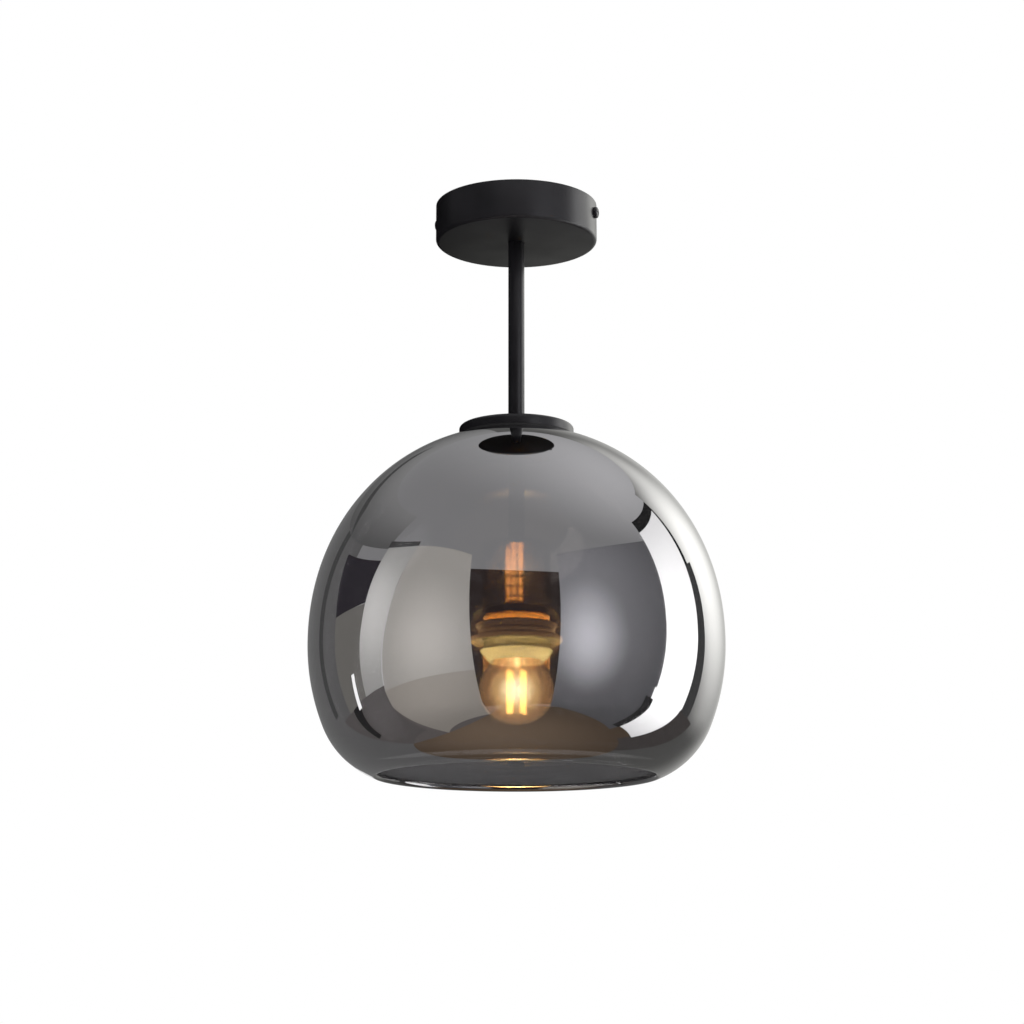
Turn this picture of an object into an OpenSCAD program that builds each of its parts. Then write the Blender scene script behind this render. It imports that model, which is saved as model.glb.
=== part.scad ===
// Semi-flush ceiling light: canopy on a crossbar, lamp tube, capped glass shade, lampholder and bulb.
// The origin is the middle of the ceiling plane, and the light hangs down along -Z.

/* [Whole light] */
// Height of the whole light, from the ceiling to the mouth of the glass
light_h = 356; // [300:1:520]

/* [Canopy] */
// Outer diameter of the canopy
canopy_d = 100; // [92:1:130]
// Height of the canopy, from the ceiling to its underside
canopy_h = 24; // [23:0.5:36]
// Sheet thickness of the canopy
canopy_wall = 1.2; // [0.8:0.1:1.8]
// Outer radius of the canopy's lower edge
canopy_edge_r = 2.2; // [2:0.1:5]

/* [Ceiling bracket] */
// Width of the crossbar and of its two bent ears
bracket_w = 18; // [16:0.5:22]
// Sheet thickness of the crossbar
bracket_t = 1.5; // [1:0.1:2]
// Outer radius of the bend between crossbar and ear
bend_r = 2.5; // [2.2:0.1:3.5]
// Distance between the centres of the two ceiling slots
slot_spacing = 60; // [54:1:64]
// Overall length of a ceiling slot
slot_len = 16; // [8:0.5:16]
// Width of a ceiling slot
slot_w = 4.5; // [4:0.1:6]
// Diameter of the hole for the supply cable
cable_hole_d = 11; // [8:0.5:12]
// Depth of the two side screws below the ceiling
side_screw_drop = 8.2; // [7:0.2:11]
// Thread diameter of the side screws
side_screw_d = 4; // [3:0.5:5]
// Length of the side screws under the head
side_screw_len = 8; // [6:0.5:12]

/* [Terminal block] */
// Distance between two poles
pole_pitch = 12; // [11:0.5:13]
// Length of the block along its wires
block_depth = 17; // [15:0.5:19]
// Height of the block under the bracket
block_h = 13; // [12:0.5:14]
// Inner diameter of the brass barrels
barrel_bore_d = 3.2; // [3:0.1:3.6]

/* [Stem] */
// Outer diameter of the stem, which is also its thread diameter
stem_d = 10; // [9:0.5:11]
// Wall of the stem
stem_wall = 1.25; // [1:0.05:1.5]
// Length of stem between the retaining plate and the lampholder
inner_drop = 58.5; // [40:0.5:90]
// Width across the flats of the nuts on the stem
nut_flats = 14; // [13.5:0.5:16]
// Thickness of a locknut
locknut_t = 3; // [2.5:0.25:4]
// Thickness of the brass nut under the retaining plate
plate_nut_t = 5; // [4:0.5:7]

/* [Shade cap and retaining plate] */
// Diameter of the shade cap
cap_d = 70; // [60:1:90]
// Height of the shade cap
cap_h = 6.2; // [6:0.1:8]
// Sheet thickness of the shade cap
cap_wall = 1.2; // [0.8:0.1:1.5]
// Outer radius of the shade cap's upper edge
cap_edge_r = 2; // [1.8:0.1:3]
// Thickness of the gasket between shade cap and glass
gasket_t = 1; // [0.6:0.1:2]
// Diameter of the retaining plate inside the shade
plate_d = 69; // [60:1:88]
// Thickness of the retaining plate
plate_t = 1.5; // [1:0.1:2.5]
// Height that the lower gasket holds the plate's edge off the glass
plate_gap = 2.1; // [1.5:0.1:3]

/* [Glass shade] */
// Largest diameter of the shade
shade_d = 250; // [200:5:320]
// Rise of the dome, from the widest line to where its apex would be
dome_rise = 132; // [100:2:160]
// Fullness of the dome: 2 is an ellipse, and more makes its shoulder squarer
dome_fullness = 2.08; // [2:0.02:2.6]
// Radius of the side wall below the widest line
side_r = 133; // [110:1:180]
// Angle that the side wall turns through
side_turn = 22; // [14:0.5:26]
// Radius of the lower corner where the wall curls inward
corner_r = 53; // [40:1:60]
// Angle that the lower corner turns through
corner_turn = 46.6; // [36:0.2:60]
// Wall of the glass
glass_wall = 3; // [2:0.1:4]
// Diameter of the fire-polished bead round the mouth
lip_bead_d = 4.6; // [4:0.1:6]
// Diameter of the hole in the top of the glass
glass_hole_d = 42; // [30:1:46]

/* [Lampholder] */
// Diameter of the lampholder's metal cup
cup_d = 42; // [41:0.5:46]
// Height of the metal cup
cup_h = 40.7; // [38:0.1:46]
// Sheet thickness of the metal cup
cup_wall = 1; // [0.7:0.1:1.3]
// Outer radius of the cup's upper edge
cup_edge_r = 4; // [2:0.25:6]
// Number of grooves rolled into the lower half of the cup
cup_groove_count = 3; // [1:1:4]
// Distance between two grooves of the cup
cup_groove_pitch = 6; // [4:0.5:7]
// Depth of a groove of the cup
cup_groove_depth = 0.4; // [0.2:0.05:0.5]
// Diameter of the neck in view under the cup
neck_d = 37; // [35.5:0.1:38.5]
// Height of the neck
neck_h = 3.5; // [3:0.25:8]
// Diameter of the threaded spigot that carries the collar and the rings
spigot_d = 34; // [33.6:0.1:35]
// Diameter of the brass collar
collar_d = 39.6; // [38:0.1:42]
// Height of the brass collar
collar_h = 5.5; // [4:0.25:8]
// Flange diameter of the upper shade ring
upper_ring_d = 49; // [46:0.5:52]
// Height of the upper shade ring
upper_ring_h = 7.7; // [6:0.1:9]
// Flange diameter of the lower shade ring
lower_ring_d = 55; // [53:0.5:60]
// Height of the lower shade ring
lower_ring_h = 3.8; // [3:0.1:5]
// Depth of the recess in the underside of the lower shade ring
ring_recess = 1.2; // [0.5:0.1:1.6]
// Outer diameter of the porcelain insert inside the lampholder
insert_d = 30.2; // [30:0.1:30.6]
// Largest diameter of the insert's nose
nose_d = 43.6; // [40:0.1:46]
// Height of the insert's nose
nose_h = 12.5; // [11:0.1:13]

/* [Bulb] */
// Diameter of the bulb's globe
globe_d = 45; // [42:0.5:60]
// Overall length of the bulb
bulb_len = 71.5; // [70:0.5:84]
// Diameter of the bulb's glass neck
globe_neck_d = 24.8; // [23:0.1:25]
// Radius of the hollow between neck and globe
globe_fillet_r = 12; // [8:0.5:20]
// Thickness of the bulb's glass
globe_wall = 0.8; // [0.6:0.1:1.2]
// Length of the bulb's screw cap
screw_cap_len = 21.3; // [20:0.1:21.6]
// Pitch of the lamp thread
thread_pitch = 3.63; // [3.3:0.01:3.9]
// Depth of the lamp thread
thread_depth = 1.05; // [0.8:0.05:1.2]
// Mean diameter of the lamp thread on the bulb
thread_mean_d = 25.15; // [25:0.05:25.3]
// Length of an LED filament
filament_len = 27; // [20:0.5:30]
// Diameter of an LED filament
filament_d = 1.8; // [1.2:0.1:2.4]
// Number of LED filaments
filament_count = 4; // [2:1:6]
// Distance of the filaments from the bulb's axis
filament_r = 5.8; // [4:0.1:7]

/* [Wires] */
// Outer diameter of a wire
wire_d = 2.2; // [1.6:0.1:2.4]

/* [Hidden] */
$fn = 96;

// Clearances between neighbours
thread_play = 0.05;
slip_play = 0.2;
loose_play = 0.4;

// Colours
black_metal = [0.09, 0.09, 0.10];
black_plastic = [0.14, 0.13, 0.13];
zinc = [0.72, 0.73, 0.74];
brass = [0.80, 0.60, 0.28];
white = [0.93, 0.92, 0.88];
smoked = [0.36, 0.36, 0.38, 0.5];
clear = [0.85, 0.82, 0.76, 0.4];
copper = [0.75, 0.45, 0.28];

// Canopy and bracket
canopy_r = canopy_d / 2;
canopy_floor_z = canopy_wall - canopy_h;
stem_r = stem_d / 2;
stem_bore_r = stem_r - stem_wall;
hole_play = 0.2;
ear_x = sqrt(pow(canopy_r - canopy_wall - loose_play, 2) - pow(bracket_w / 2, 2));
ear_drop = side_screw_drop + side_screw_d + 1;
side_head_d = side_screw_d * 1.75;
side_head_h = side_screw_d * 0.58;
earth_x = -(cable_hole_d / 2 + slot_spacing / 2 - slot_len / 2) / 2;
earth_screw_d = 4;
earth_washer_t = 0.8;

// Terminal block
poles = [-1, 0, 1];
block_y = bracket_w / 2 + 3;
block_w = 3 * pole_pitch;
barrel_wall = 0.8;
barrel_r = barrel_bore_d / 2 + barrel_wall;
barrel_z = -bracket_t - block_h * 0.45;
tower_r = barrel_r + 1.1;
block_base_h = block_h * 0.32;
terminal_screw_d = 2.6;
terminal_offset = block_depth / 4;
block_screw_d = 2.5;

// Stem, from its top in the canopy to its end in the lampholder
bush_d = 16;
bush_h = 4.6;
washer_t = 0.8;
stem_proud = 1.5;
stem_top_z = canopy_floor_z + bush_h + washer_t + locknut_t + stem_proud;

// Glass, measured up from its mouth to the apex that the dome would have without its hole
shade_r = shade_d / 2;
hole_r = glass_hole_d / 2;
dome_steps = 26;
side_steps = 6;
corner_steps = 14;
bead_steps = 8;
function dome_drop(r) = dome_rise * (1 - pow(1 - pow(r / shade_r, dome_fullness), 1 / dome_fullness));
side_end = 90 + side_turn;
corner_end = side_end + corner_turn;
bead_r = lip_bead_d / 2;
mouth_drop = bead_r - (side_r - corner_r) * cos(side_end) - (corner_r - bead_r) * cos(corner_end);
widest_z = mouth_drop - light_h;
apex_z = widest_z + dome_rise;

// A point of the outer surface is [radius, height, normal radius, normal height, wall]
function dome_point(turn) = let(
    r = shade_r * pow(cos(turn), 2 / dome_fullness),
    h = dome_rise * pow(sin(turn), 2 / dome_fullness),
    n = [
      pow(r, dome_fullness - 1) / pow(shade_r, dome_fullness),
      pow(h, dome_fullness - 1) / pow(dome_rise, dome_fullness)
    ]
  ) [r, widest_z + h, n.x / norm(n), n.y / norm(n), glass_wall];
function arc_point(centre, r, turn, wall) =
  [centre.x + r * sin(turn), centre.y + r * cos(turn), sin(turn), cos(turn), wall];
function inside(p) = [p[0] - p[4] * p[2], p[1] - p[4] * p[3]];
function outside(p) = [p[0], p[1]];
hole_turn = acos(pow(hole_r / shade_r, dome_fullness / 2));
side_centre = [shade_r - side_r, widest_z];
corner_centre = side_centre + (side_r - corner_r) * [sin(side_end), cos(side_end)];
bead_centre = corner_centre + (corner_r - bead_r) * [sin(corner_end), cos(corner_end)];
glass_skin = concat(
  [for (i = [0 : dome_steps]) dome_point(hole_turn * (1 - i / dome_steps))],
  [for (i = [1 : side_steps]) arc_point(side_centre, side_r, 90 + side_turn * i / side_steps, glass_wall)],
  [for (i = [1 : corner_steps]) let(u = i / corner_steps)
    arc_point(corner_centre, corner_r, side_end + corner_turn * u,
      glass_wall + (lip_bead_d - glass_wall) * pow(u, 3))]
);
glass_bead = [for (i = [1 : bead_steps - 1])
  outside(arc_point(bead_centre, bead_r, corner_end + 180 * i / bead_steps, 0))];
glass_inner = [for (i = [len(glass_skin) - 1 : -1 : 0]) inside(glass_skin[i])];
function glass_inner_z(r) = lookup(r, [for (i = [0 : dome_steps]) inside(glass_skin[i])]);

// Shade cap, which stands on the glass with its gasket
cap_r = cap_d / 2;
cap_rim_z = apex_z + gasket_t - dome_drop(cap_r - cap_wall / 2);
cap_top_z = cap_rim_z + cap_h;
cap_bush_h = 3.6;

// Retaining plate
plate_r = plate_d / 2;
plate_top_z = glass_inner_z(plate_r) - plate_gap;
plate_z = plate_top_z - plate_t;
plate_gasket_r = [hole_r + 4, plate_r - 1];

// Lampholder, from the cup down to the nose
cup_z = plate_z - inner_drop;
cup_rim_z = cup_z - cup_h;
cup_bore_r = cup_d / 2 - cup_wall;
stem_end_z = cup_z - cup_wall - washer_t - locknut_t - stem_proud;
neck_z = cup_rim_z - neck_h;
collar_z = neck_z - collar_h;
upper_ring_z = collar_z - upper_ring_h;
lower_ring_z = upper_ring_z - lower_ring_h;
body_engage = 14;
body_z = lower_ring_z + ring_recess;
spigot_r = spigot_d / 2;
insert_r = insert_d / 2;
body_bore_r = insert_r + 0.1;
nose_tip_z = body_z - nose_h;
nose_rim_z = body_z - nose_h / 2;
insert_roof_z = cup_rim_z + 2;
insert_roof_t = 5;
insert_top_z = insert_roof_z + insert_roof_t;
contact_drop = 1.9;
terminal_x = 8;
terminal_size = [6, 6, 5];
rivet_r = 1.1;

// Bulb, from the tip of its contact down to the bottom of its globe
tip_z = insert_roof_z - contact_drop - slip_play;
tip_h = 1.1;
insulator_h = 3;
screw_cap_z = tip_z - tip_h - insulator_h;
screw_cap_end_z = screw_cap_z - screw_cap_len;
skirt_h = 3.1;
screw_cap_wall = 0.35;
skirt_r = 13.2;
globe_r = globe_d / 2;
globe_z = tip_z - bulb_len + globe_r;
globe_neck_r = globe_neck_d / 2;
globe_neck_z = screw_cap_end_z + skirt_h + 0.6;
fillet_x = globe_neck_r + globe_fillet_r;
fillet_h = sqrt(pow(globe_r + globe_fillet_r, 2) - pow(fillet_x, 2));
fillet_turn = atan2(fillet_h, fillet_x);
lead_d = 0.7;
filament_z = globe_z + filament_len / 2 - 1.5;
stem_tip_z = filament_z - 1.2;

// The lamp thread is a row of round waves, and the socket's waves lie round the bulb's
thread_play_r = 0.22;
thread_top_z = screw_cap_z - 0.8;
thread_end_z = screw_cap_end_z + skirt_h;
thread_steps = 8;
function wave(z, mean_r) = [mean_r + thread_depth / 2 * cos(360 * (z - thread_end_z) / thread_pitch), z];
function waves(from_z, to_z, mean_r) = let(
    count = ceil(abs(from_z - to_z) / thread_pitch * thread_steps)
  ) [for (i = [0 : count]) wave(from_z + (to_z - from_z) * i / count, mean_r)];
function widen(points, by) = [for (p = points) [p.x + by, p.y]];
function reversed(points) = [for (i = [len(points) - 1 : -1 : 0]) points[i]];
shell_mean_r = thread_mean_d / 2 + thread_play_r;
shell_wall = 0.4;
shell_bore_r = insert_r - 1.15;
shell_end_z = screw_cap_end_z + skirt_h;

function arc(centre, r, from, to, steps) =
  [for (i = [0 : steps]) let(a = from + (to - from) * i / steps) centre + r * [cos(a), sin(a)]];
function globe_outline(shrink) = concat(
  [[globe_neck_r - shrink, globe_neck_z], [globe_neck_r - shrink, globe_z + fillet_h]],
  arc([fillet_x, globe_z + fillet_h], globe_fillet_r + shrink, 180, 180 + fillet_turn, 8),
  arc([0, globe_z], globe_r - shrink, fillet_turn, -90, 26)
);
function globe_neck_at(z) = fillet_x - sqrt(pow(globe_fillet_r, 2) - pow(globe_z + fillet_h - z, 2));

// Routes of the wires: points chosen by hand, each tied to the end that it leaves or reaches
wire_lane = 1.7;
wire_end_z = insert_top_z + 1;
function lamp_wire(side) = [
  [side * pole_pitch, block_y + 7, barrel_z],
  [side * pole_pitch, block_y - 1, barrel_z],
  [side * (pole_pitch - 0.6), block_y - 4, barrel_z],
  [side * (pole_pitch - 3), block_y - 8, barrel_z + 0.2],
  [side * 5.5, 1.6, barrel_z + 0.3],
  [side * 3.2, 0.4, barrel_z - 0.6],
  [side * 2, 0, barrel_z - 2.6],
  [side * wire_lane, 0, stem_top_z - 2],
  [side * wire_lane, 0, stem_top_z - 10],
  [side * wire_lane, 0, cap_top_z],
  [side * wire_lane, 0, stem_end_z + 4],
  [side * wire_lane, 0, stem_end_z - 1],
  [side * 2.2, 0, stem_end_z - 4],
  [side * 3.8, 0, stem_end_z - 8],
  [side * 6, 0, stem_end_z - 12],
  [side * 7.6, 0, stem_end_z - 16],
  [side * terminal_x, 0, stem_end_z - 20],
  [side * terminal_x, 0, wire_end_z]
];
earth_reach = 8.5;
ring_barrel_d = wire_d + 1.4;
ring_axis_z = -bracket_t - ring_barrel_d / 2;
earth_route = [
  [0, block_y + 7, barrel_z],
  [0, block_y - 1, barrel_z],
  [-0.4, block_y - 2.6, barrel_z + 0.4],
  [-1.8, block_y - 3.8, barrel_z + 1.4],
  [-4, block_y - 4.6, barrel_z + 2.6],
  [earth_x + earth_reach * cos(45), earth_reach * sin(45), ring_axis_z],
  [earth_x + (earth_reach - 3.5) * cos(45), (earth_reach - 3.5) * sin(45), ring_axis_z]
];

// A tube of eight sides through the points of a route
wire_sides = 8;
function unit(v) = v / norm(v);
function heading(route, i) =
  i == 0 ? unit(route[1] - route[0])
  : i == len(route) - 1 ? unit(route[i] - route[i - 1])
  : unit(unit(route[i] - route[i - 1]) + unit(route[i + 1] - route[i]));
function across(v, h) = unit(v - (v * h) * h);
function frames(route, i, last) =
  i == len(route) ? []
  : let(side = across(last, heading(route, i)))
    concat([[route[i], side, cross(heading(route, i), side)]], frames(route, i + 1, side));
function ring_points(frame, r) = [for (k = [0 : wire_sides - 1]) let(a = 360 * k / wire_sides)
  frame[0] + r * cos(a) * frame[1] + r * sin(a) * frame[2]];

module wire(route, d) {
  rings = frames(route, 0, [1, 0.02, 0.01]);
  last = (len(route) - 1) * wire_sides;
  points = [for (f = rings) each ring_points(f, d / 2)];
  walls = [for (i = [0 : len(route) - 2]) for (k = [0 : wire_sides - 1])
    let(a = i * wire_sides + k, b = i * wire_sides + (k + 1) % wire_sides)
    each [[a, a + wire_sides, b], [b, a + wire_sides, b + wire_sides]]];
  start = [[for (k = [0 : wire_sides - 1]) k]];
  finish = [[for (k = [wire_sides - 1 : -1 : 0]) last + k]];
  polyhedron(points, concat(start, walls, finish));
}

// A round cup of spun sheet, its closed end up, its open rim at -height
module spun_cup(d, h, wall, edge_r, hole_d) {
  r = d / 2;
  edge = [r - edge_r, -edge_r];
  rotate_extrude()
    polygon(concat(
      [[hole_d / 2, 0]],
      arc(edge, edge_r, 90, 0, 6),
      [[r, -h], [r - wall, -h]],
      arc(edge, edge_r - wall, 0, 90, 6),
      [[hole_d / 2, -wall]]
    ));
}

// A flat ring, its top at zero
module flat_ring(outer_d, bore_d, h) {
  translate([0, 0, -h])
    difference() {
      cylinder(d = outer_d, h = h);
      translate([0, 0, -1]) cylinder(d = bore_d, h = h + 2);
    }
}

// A hexagon nut with rounded-off corners, its top at zero
module hex_nut(flats, bore_d, h) {
  corner = flats / cos(30) / 2;
  bevel = corner - flats / 2;
  translate([0, 0, -h])
    difference() {
      intersection() {
        cylinder(r = corner, h = h, $fn = 6);
        rotate_extrude()
          polygon([
            [0, 0], [flats / 2, 0], [corner + 0.2, bevel * 0.7],
            [corner + 0.2, h - bevel * 0.7], [flats / 2, h], [0, h]
          ]);
      }
      translate([0, 0, -1]) cylinder(d = bore_d, h = h + 2);
    }
}

// A washer with locking teeth cut round its rim, its top at zero
module toothed_washer(outer_d, bore_d, t) {
  teeth = 12;
  translate([0, 0, -t])
    linear_extrude(t)
      difference() {
        circle(d = outer_d);
        circle(d = bore_d);
        for (i = [0 : teeth - 1])
          rotate(360 * i / teeth)
            translate([outer_d / 2 - 0.6, -0.45]) square([2, 0.9]);
      }
}

// A pan-head screw with a cross recess: the shank goes down from zero and the head stands up from it
module pan_screw(d, len, head_d, head_h) {
  crown = head_h * 0.45;
  slot_w = head_d * 0.14;
  difference() {
    union() {
      translate([0, 0, -len]) cylinder(d = d, h = len + head_h / 2);
      rotate_extrude()
        polygon([
          [0, 0], [head_d / 2, 0], [head_d / 2, head_h - crown], [head_d * 0.44, head_h - crown * 0.45],
          [head_d * 0.33, head_h - crown * 0.12], [0, head_h]
        ]);
    }
    for (turn = [0, 90])
      rotate(turn)
        translate([-head_d * 0.3, -slot_w / 2, head_h * 0.45])
          cube([head_d * 0.6, slot_w, head_h]);
  }
}

module canopy() {
  color(black_metal)
    difference() {
      translate([0, 0, -canopy_h])
        mirror([0, 0, 1])
          spun_cup(canopy_d, canopy_h, canopy_wall, canopy_edge_r, stem_d + 2 * hole_play);
      for (side = [-1, 1])
        translate([side * canopy_r, 0, -side_screw_drop])
          rotate([0, 90, 0])
            cylinder(d = side_screw_d + 0.6, h = 4 * canopy_wall, center = true);
    }
}

// The crossbar and its two ears are one bent strip, seen here along Y
module bracket_strip() {
  foot_z = -bend_r - ear_drop;
  bend_x = ear_x - bend_r;
  inner_r = bend_r - bracket_t;
  rotate([90, 0, 0])
    translate([0, 0, -bracket_w / 2])
      linear_extrude(bracket_w)
        polygon(concat(
          [[-ear_x, foot_z]], arc([-bend_x, -bend_r], bend_r, 180, 90, 5),
          arc([bend_x, -bend_r], bend_r, 90, 0, 5), [[ear_x, foot_z]],
          [[ear_x - bracket_t, foot_z]], arc([bend_x, -bend_r], inner_r, 0, 90, 5),
          arc([-bend_x, -bend_r], inner_r, 90, 180, 5), [[bracket_t - ear_x, foot_z]]
        ));
}

// The outline of an ear, seen along X, with a rounded foot
module ear_outline() {
  foot_r = bracket_w / 2;
  translate([-ear_x - 1, 0, 0])
    rotate([0, 90, 0])
      linear_extrude(2 * ear_x + 2)
        intersection() {
          translate([-1, -foot_r]) square([bend_r + ear_drop + 1, 2 * foot_r]);
          translate([bend_r + ear_drop - foot_r, 0]) circle(r = foot_r * 1.8);
        }
}

module slot(at_x) {
  straight = slot_len - slot_w;
  translate([at_x, 0, -bracket_t - 1])
    for (end = [-1, 1])
      translate([end * straight / 2, 0, 0]) cylinder(d = slot_w, h = bracket_t + 2);
  translate([at_x - straight / 2, -slot_w / 2, -bracket_t - 1])
    cube([straight, slot_w, bracket_t + 2]);
}

module mounting_bracket() {
  tab_w = block_w + 2;
  tab_end = block_y + block_depth + 1.5;
  tab_r = 3;
  color(zinc)
    difference() {
      union() {
        translate([-tab_w / 2, 0, -bracket_t]) cube([tab_w, tab_end - tab_r, bracket_t]);
        translate([-tab_w / 2 + tab_r, 0, -bracket_t]) cube([tab_w - 2 * tab_r, tab_end, bracket_t]);
        for (side = [-1, 1])
          translate([side * (tab_w / 2 - tab_r), tab_end - tab_r, -bracket_t])
            cylinder(r = tab_r, h = bracket_t);
        intersection() {
          bracket_strip();
          ear_outline();
        }
      }
      translate([0, 0, -bracket_t - 1]) cylinder(d = cable_hole_d, h = bracket_t + 2);
      translate([-ear_x - 1, 0, -side_screw_drop])
        rotate([0, 90, 0]) cylinder(d = side_screw_d + 2 * thread_play, h = 2 * ear_x + 2);
      for (side = [-1, 1]) slot(side * slot_spacing / 2);
      translate([earth_x, 0, -bracket_t - 1])
        cylinder(d = earth_screw_d + 2 * thread_play, h = bracket_t + 2);
      for (side = [-0.5, 0.5])
        translate([side * pole_pitch, block_y + block_depth / 2, -bracket_t - 1])
          cylinder(d = block_screw_d + 2 * thread_play, h = bracket_t + 2);
    }
}

module side_screw() {
  translate([canopy_r + thread_play, 0, -side_screw_drop])
    rotate([0, 90, 0])
      pan_screw(side_screw_d, side_screw_len, side_head_d, side_head_h);
}

module canopy_screw_right() {
  color(black_metal) side_screw();
}

module canopy_screw_left() {
  color(black_metal) rotate(180) side_screw();
}

// Along a pole: a barrel housing with a screw chimney at each end
module pole_housing() {
  translate([0, block_y, barrel_z])
    rotate([-90, 0, 0]) cylinder(r = tower_r, h = block_depth);
  for (end = [-1, 1])
    translate([0, block_y + block_depth / 2 + end * terminal_offset, -bracket_t - block_h])
      cylinder(r = terminal_screw_d / 2 + 1.3, h = block_h * 0.5);
}

module terminal_block() {
  color(white)
    difference() {
      union() {
        translate([-block_w / 2, block_y, -bracket_t - block_base_h])
          cube([block_w, block_depth, block_base_h]);
        for (i = poles) translate([i * pole_pitch, 0, 0]) pole_housing();
      }
      for (i = poles) {
        translate([i * pole_pitch, block_y - 1, barrel_z])
          rotate([-90, 0, 0]) cylinder(r = barrel_r + thread_play, h = block_depth + 2);
        for (end = [-1, 1])
          translate([i * pole_pitch, block_y + block_depth / 2 + end * terminal_offset, -bracket_t - block_h - 1])
            cylinder(d = terminal_screw_d + loose_play, h = bracket_t + block_h + 1 + barrel_z);
      }
      for (side = [-0.5, 0.5])
        translate([side * pole_pitch, block_y + block_depth / 2, -bracket_t - block_base_h - 1])
          cylinder(d = block_screw_d + loose_play, h = block_base_h + 2);
    }
}

module terminal_barrels() {
  inset = 1.5;
  color(brass)
    for (i = poles)
      difference() {
        translate([i * pole_pitch, block_y + inset, barrel_z])
          rotate([-90, 0, 0]) cylinder(r = barrel_r, h = block_depth - 2 * inset);
        translate([i * pole_pitch, block_y, barrel_z])
          rotate([-90, 0, 0]) cylinder(d = barrel_bore_d, h = block_depth);
        for (end = [-1, 1])
          translate([i * pole_pitch, block_y + block_depth / 2 + end * terminal_offset, barrel_z - barrel_r - 1])
            cylinder(d = terminal_screw_d + 2 * thread_play, h = barrel_r + 1);
      }
}

module terminal_screws() {
  length = 4.4;
  slot_cut = 0.6;
  color(zinc)
    for (i = poles, end = [-1, 1])
      translate([
        i * pole_pitch,
        block_y + block_depth / 2 + end * terminal_offset,
        barrel_z - wire_d / 2 - thread_play - length
      ])
        difference() {
          cylinder(d = terminal_screw_d, h = length);
          translate([-terminal_screw_d, -slot_cut / 2, -1]) cube([2 * terminal_screw_d, slot_cut, 1.8]);
        }
}

module block_screws() {
  color(zinc)
    for (side = [-0.5, 0.5])
      translate([side * pole_pitch, block_y + block_depth / 2, -bracket_t - block_base_h])
        rotate([180, 0, 0])
          pan_screw(block_screw_d, block_base_h + bracket_t, block_screw_d * 1.7, 1.5);
}

module earth_screw() {
  color(brass)
    translate([earth_x, 0, -bracket_t - earth_washer_t])
      rotate([180, 0, 0])
        pan_screw(earth_screw_d, bracket_t + earth_washer_t, 7.6, 2.2);
}

// A ring terminal: a flat eye under the earth screw and a crimped barrel round the wire
module earth_ring() {
  color(zinc)
    translate([earth_x, 0, 0])
      difference() {
        union() {
          translate([0, 0, -bracket_t - earth_washer_t]) cylinder(d = 8.4, h = earth_washer_t);
          rotate(45) {
            translate([0, -1.4, -bracket_t - earth_washer_t]) cube([4.8, 2.8, earth_washer_t]);
            translate([4.3, 0, ring_axis_z])
              rotate([0, 90, 0]) cylinder(d = ring_barrel_d, h = 4);
          }
        }
        translate([0, 0, -bracket_t - 2]) cylinder(d = earth_screw_d + 2 * hole_play, h = 3);
        rotate(45)
          translate([4.8, 0, ring_axis_z])
            rotate([0, 90, 0]) cylinder(d = wire_d + 2 * slip_play, h = 4);
      }
}

module canopy_bush() {
  color(zinc)
    translate([0, 0, canopy_floor_z + bush_h])
      flat_ring(bush_d, stem_d + 2 * thread_play, bush_h);
}

module stem_washer() {
  color(zinc)
    translate([0, 0, canopy_floor_z + bush_h + washer_t])
      toothed_washer(bush_d, stem_d + 2 * hole_play, washer_t);
}

module stem_locknut() {
  color(zinc)
    translate([0, 0, canopy_floor_z + bush_h + washer_t + locknut_t])
      hex_nut(nut_flats, stem_d + 2 * thread_play, locknut_t);
}

module stem_tube() {
  length = stem_top_z - stem_end_z;
  color(black_metal)
    translate([0, 0, stem_end_z])
      difference() {
        cylinder(r = stem_r, h = length);
        translate([0, 0, -1]) cylinder(r = stem_bore_r, h = length + 2);
      }
}

module shade_cap() {
  color(black_metal)
    translate([0, 0, cap_top_z])
      spun_cup(cap_d, cap_h, cap_wall, cap_edge_r, stem_d + 2 * hole_play);
}

module cap_bush() {
  color(zinc)
    translate([0, 0, cap_top_z - cap_wall])
      flat_ring(bush_d, stem_d + 2 * thread_play, cap_bush_h);
}

// The gasket's underside lies along the dome
module cap_gasket() {
  inner_r = cap_r - 2.6;
  outer_r = cap_r - 0.1;
  color(black_plastic)
    rotate_extrude()
      polygon([
        [inner_r, cap_rim_z], [inner_r, apex_z - dome_drop(inner_r) + thread_play],
        [outer_r, apex_z - dome_drop(outer_r) + thread_play], [outer_r, cap_rim_z]
      ]);
}

module glass_shade() {
  color(smoked)
    rotate_extrude()
      polygon(concat([for (p = glass_skin) outside(p)], glass_bead, glass_inner));
}

// The lower gasket's top lies along the inside of the dome
module plate_gasket() {
  inner_r = plate_gasket_r[0];
  outer_r = plate_gasket_r[1];
  color(black_plastic)
    rotate_extrude()
      polygon([
        [inner_r, plate_top_z], [outer_r, plate_top_z],
        [outer_r, glass_inner_z(outer_r) - thread_play], [inner_r, glass_inner_z(inner_r) - slip_play]
      ]);
}

module retaining_plate() {
  bevel = 0.5;
  bore_r = stem_r + hole_play;
  color(black_metal)
    rotate_extrude()
      polygon([
        [bore_r, plate_z], [plate_r - bevel, plate_z], [plate_r, plate_z + bevel],
        [plate_r, plate_top_z], [bore_r, plate_top_z]
      ]);
}

module plate_nut() {
  color(brass)
    translate([0, 0, plate_z])
      hex_nut(nut_flats, stem_d + 2 * thread_play, plate_nut_t);
}

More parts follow.
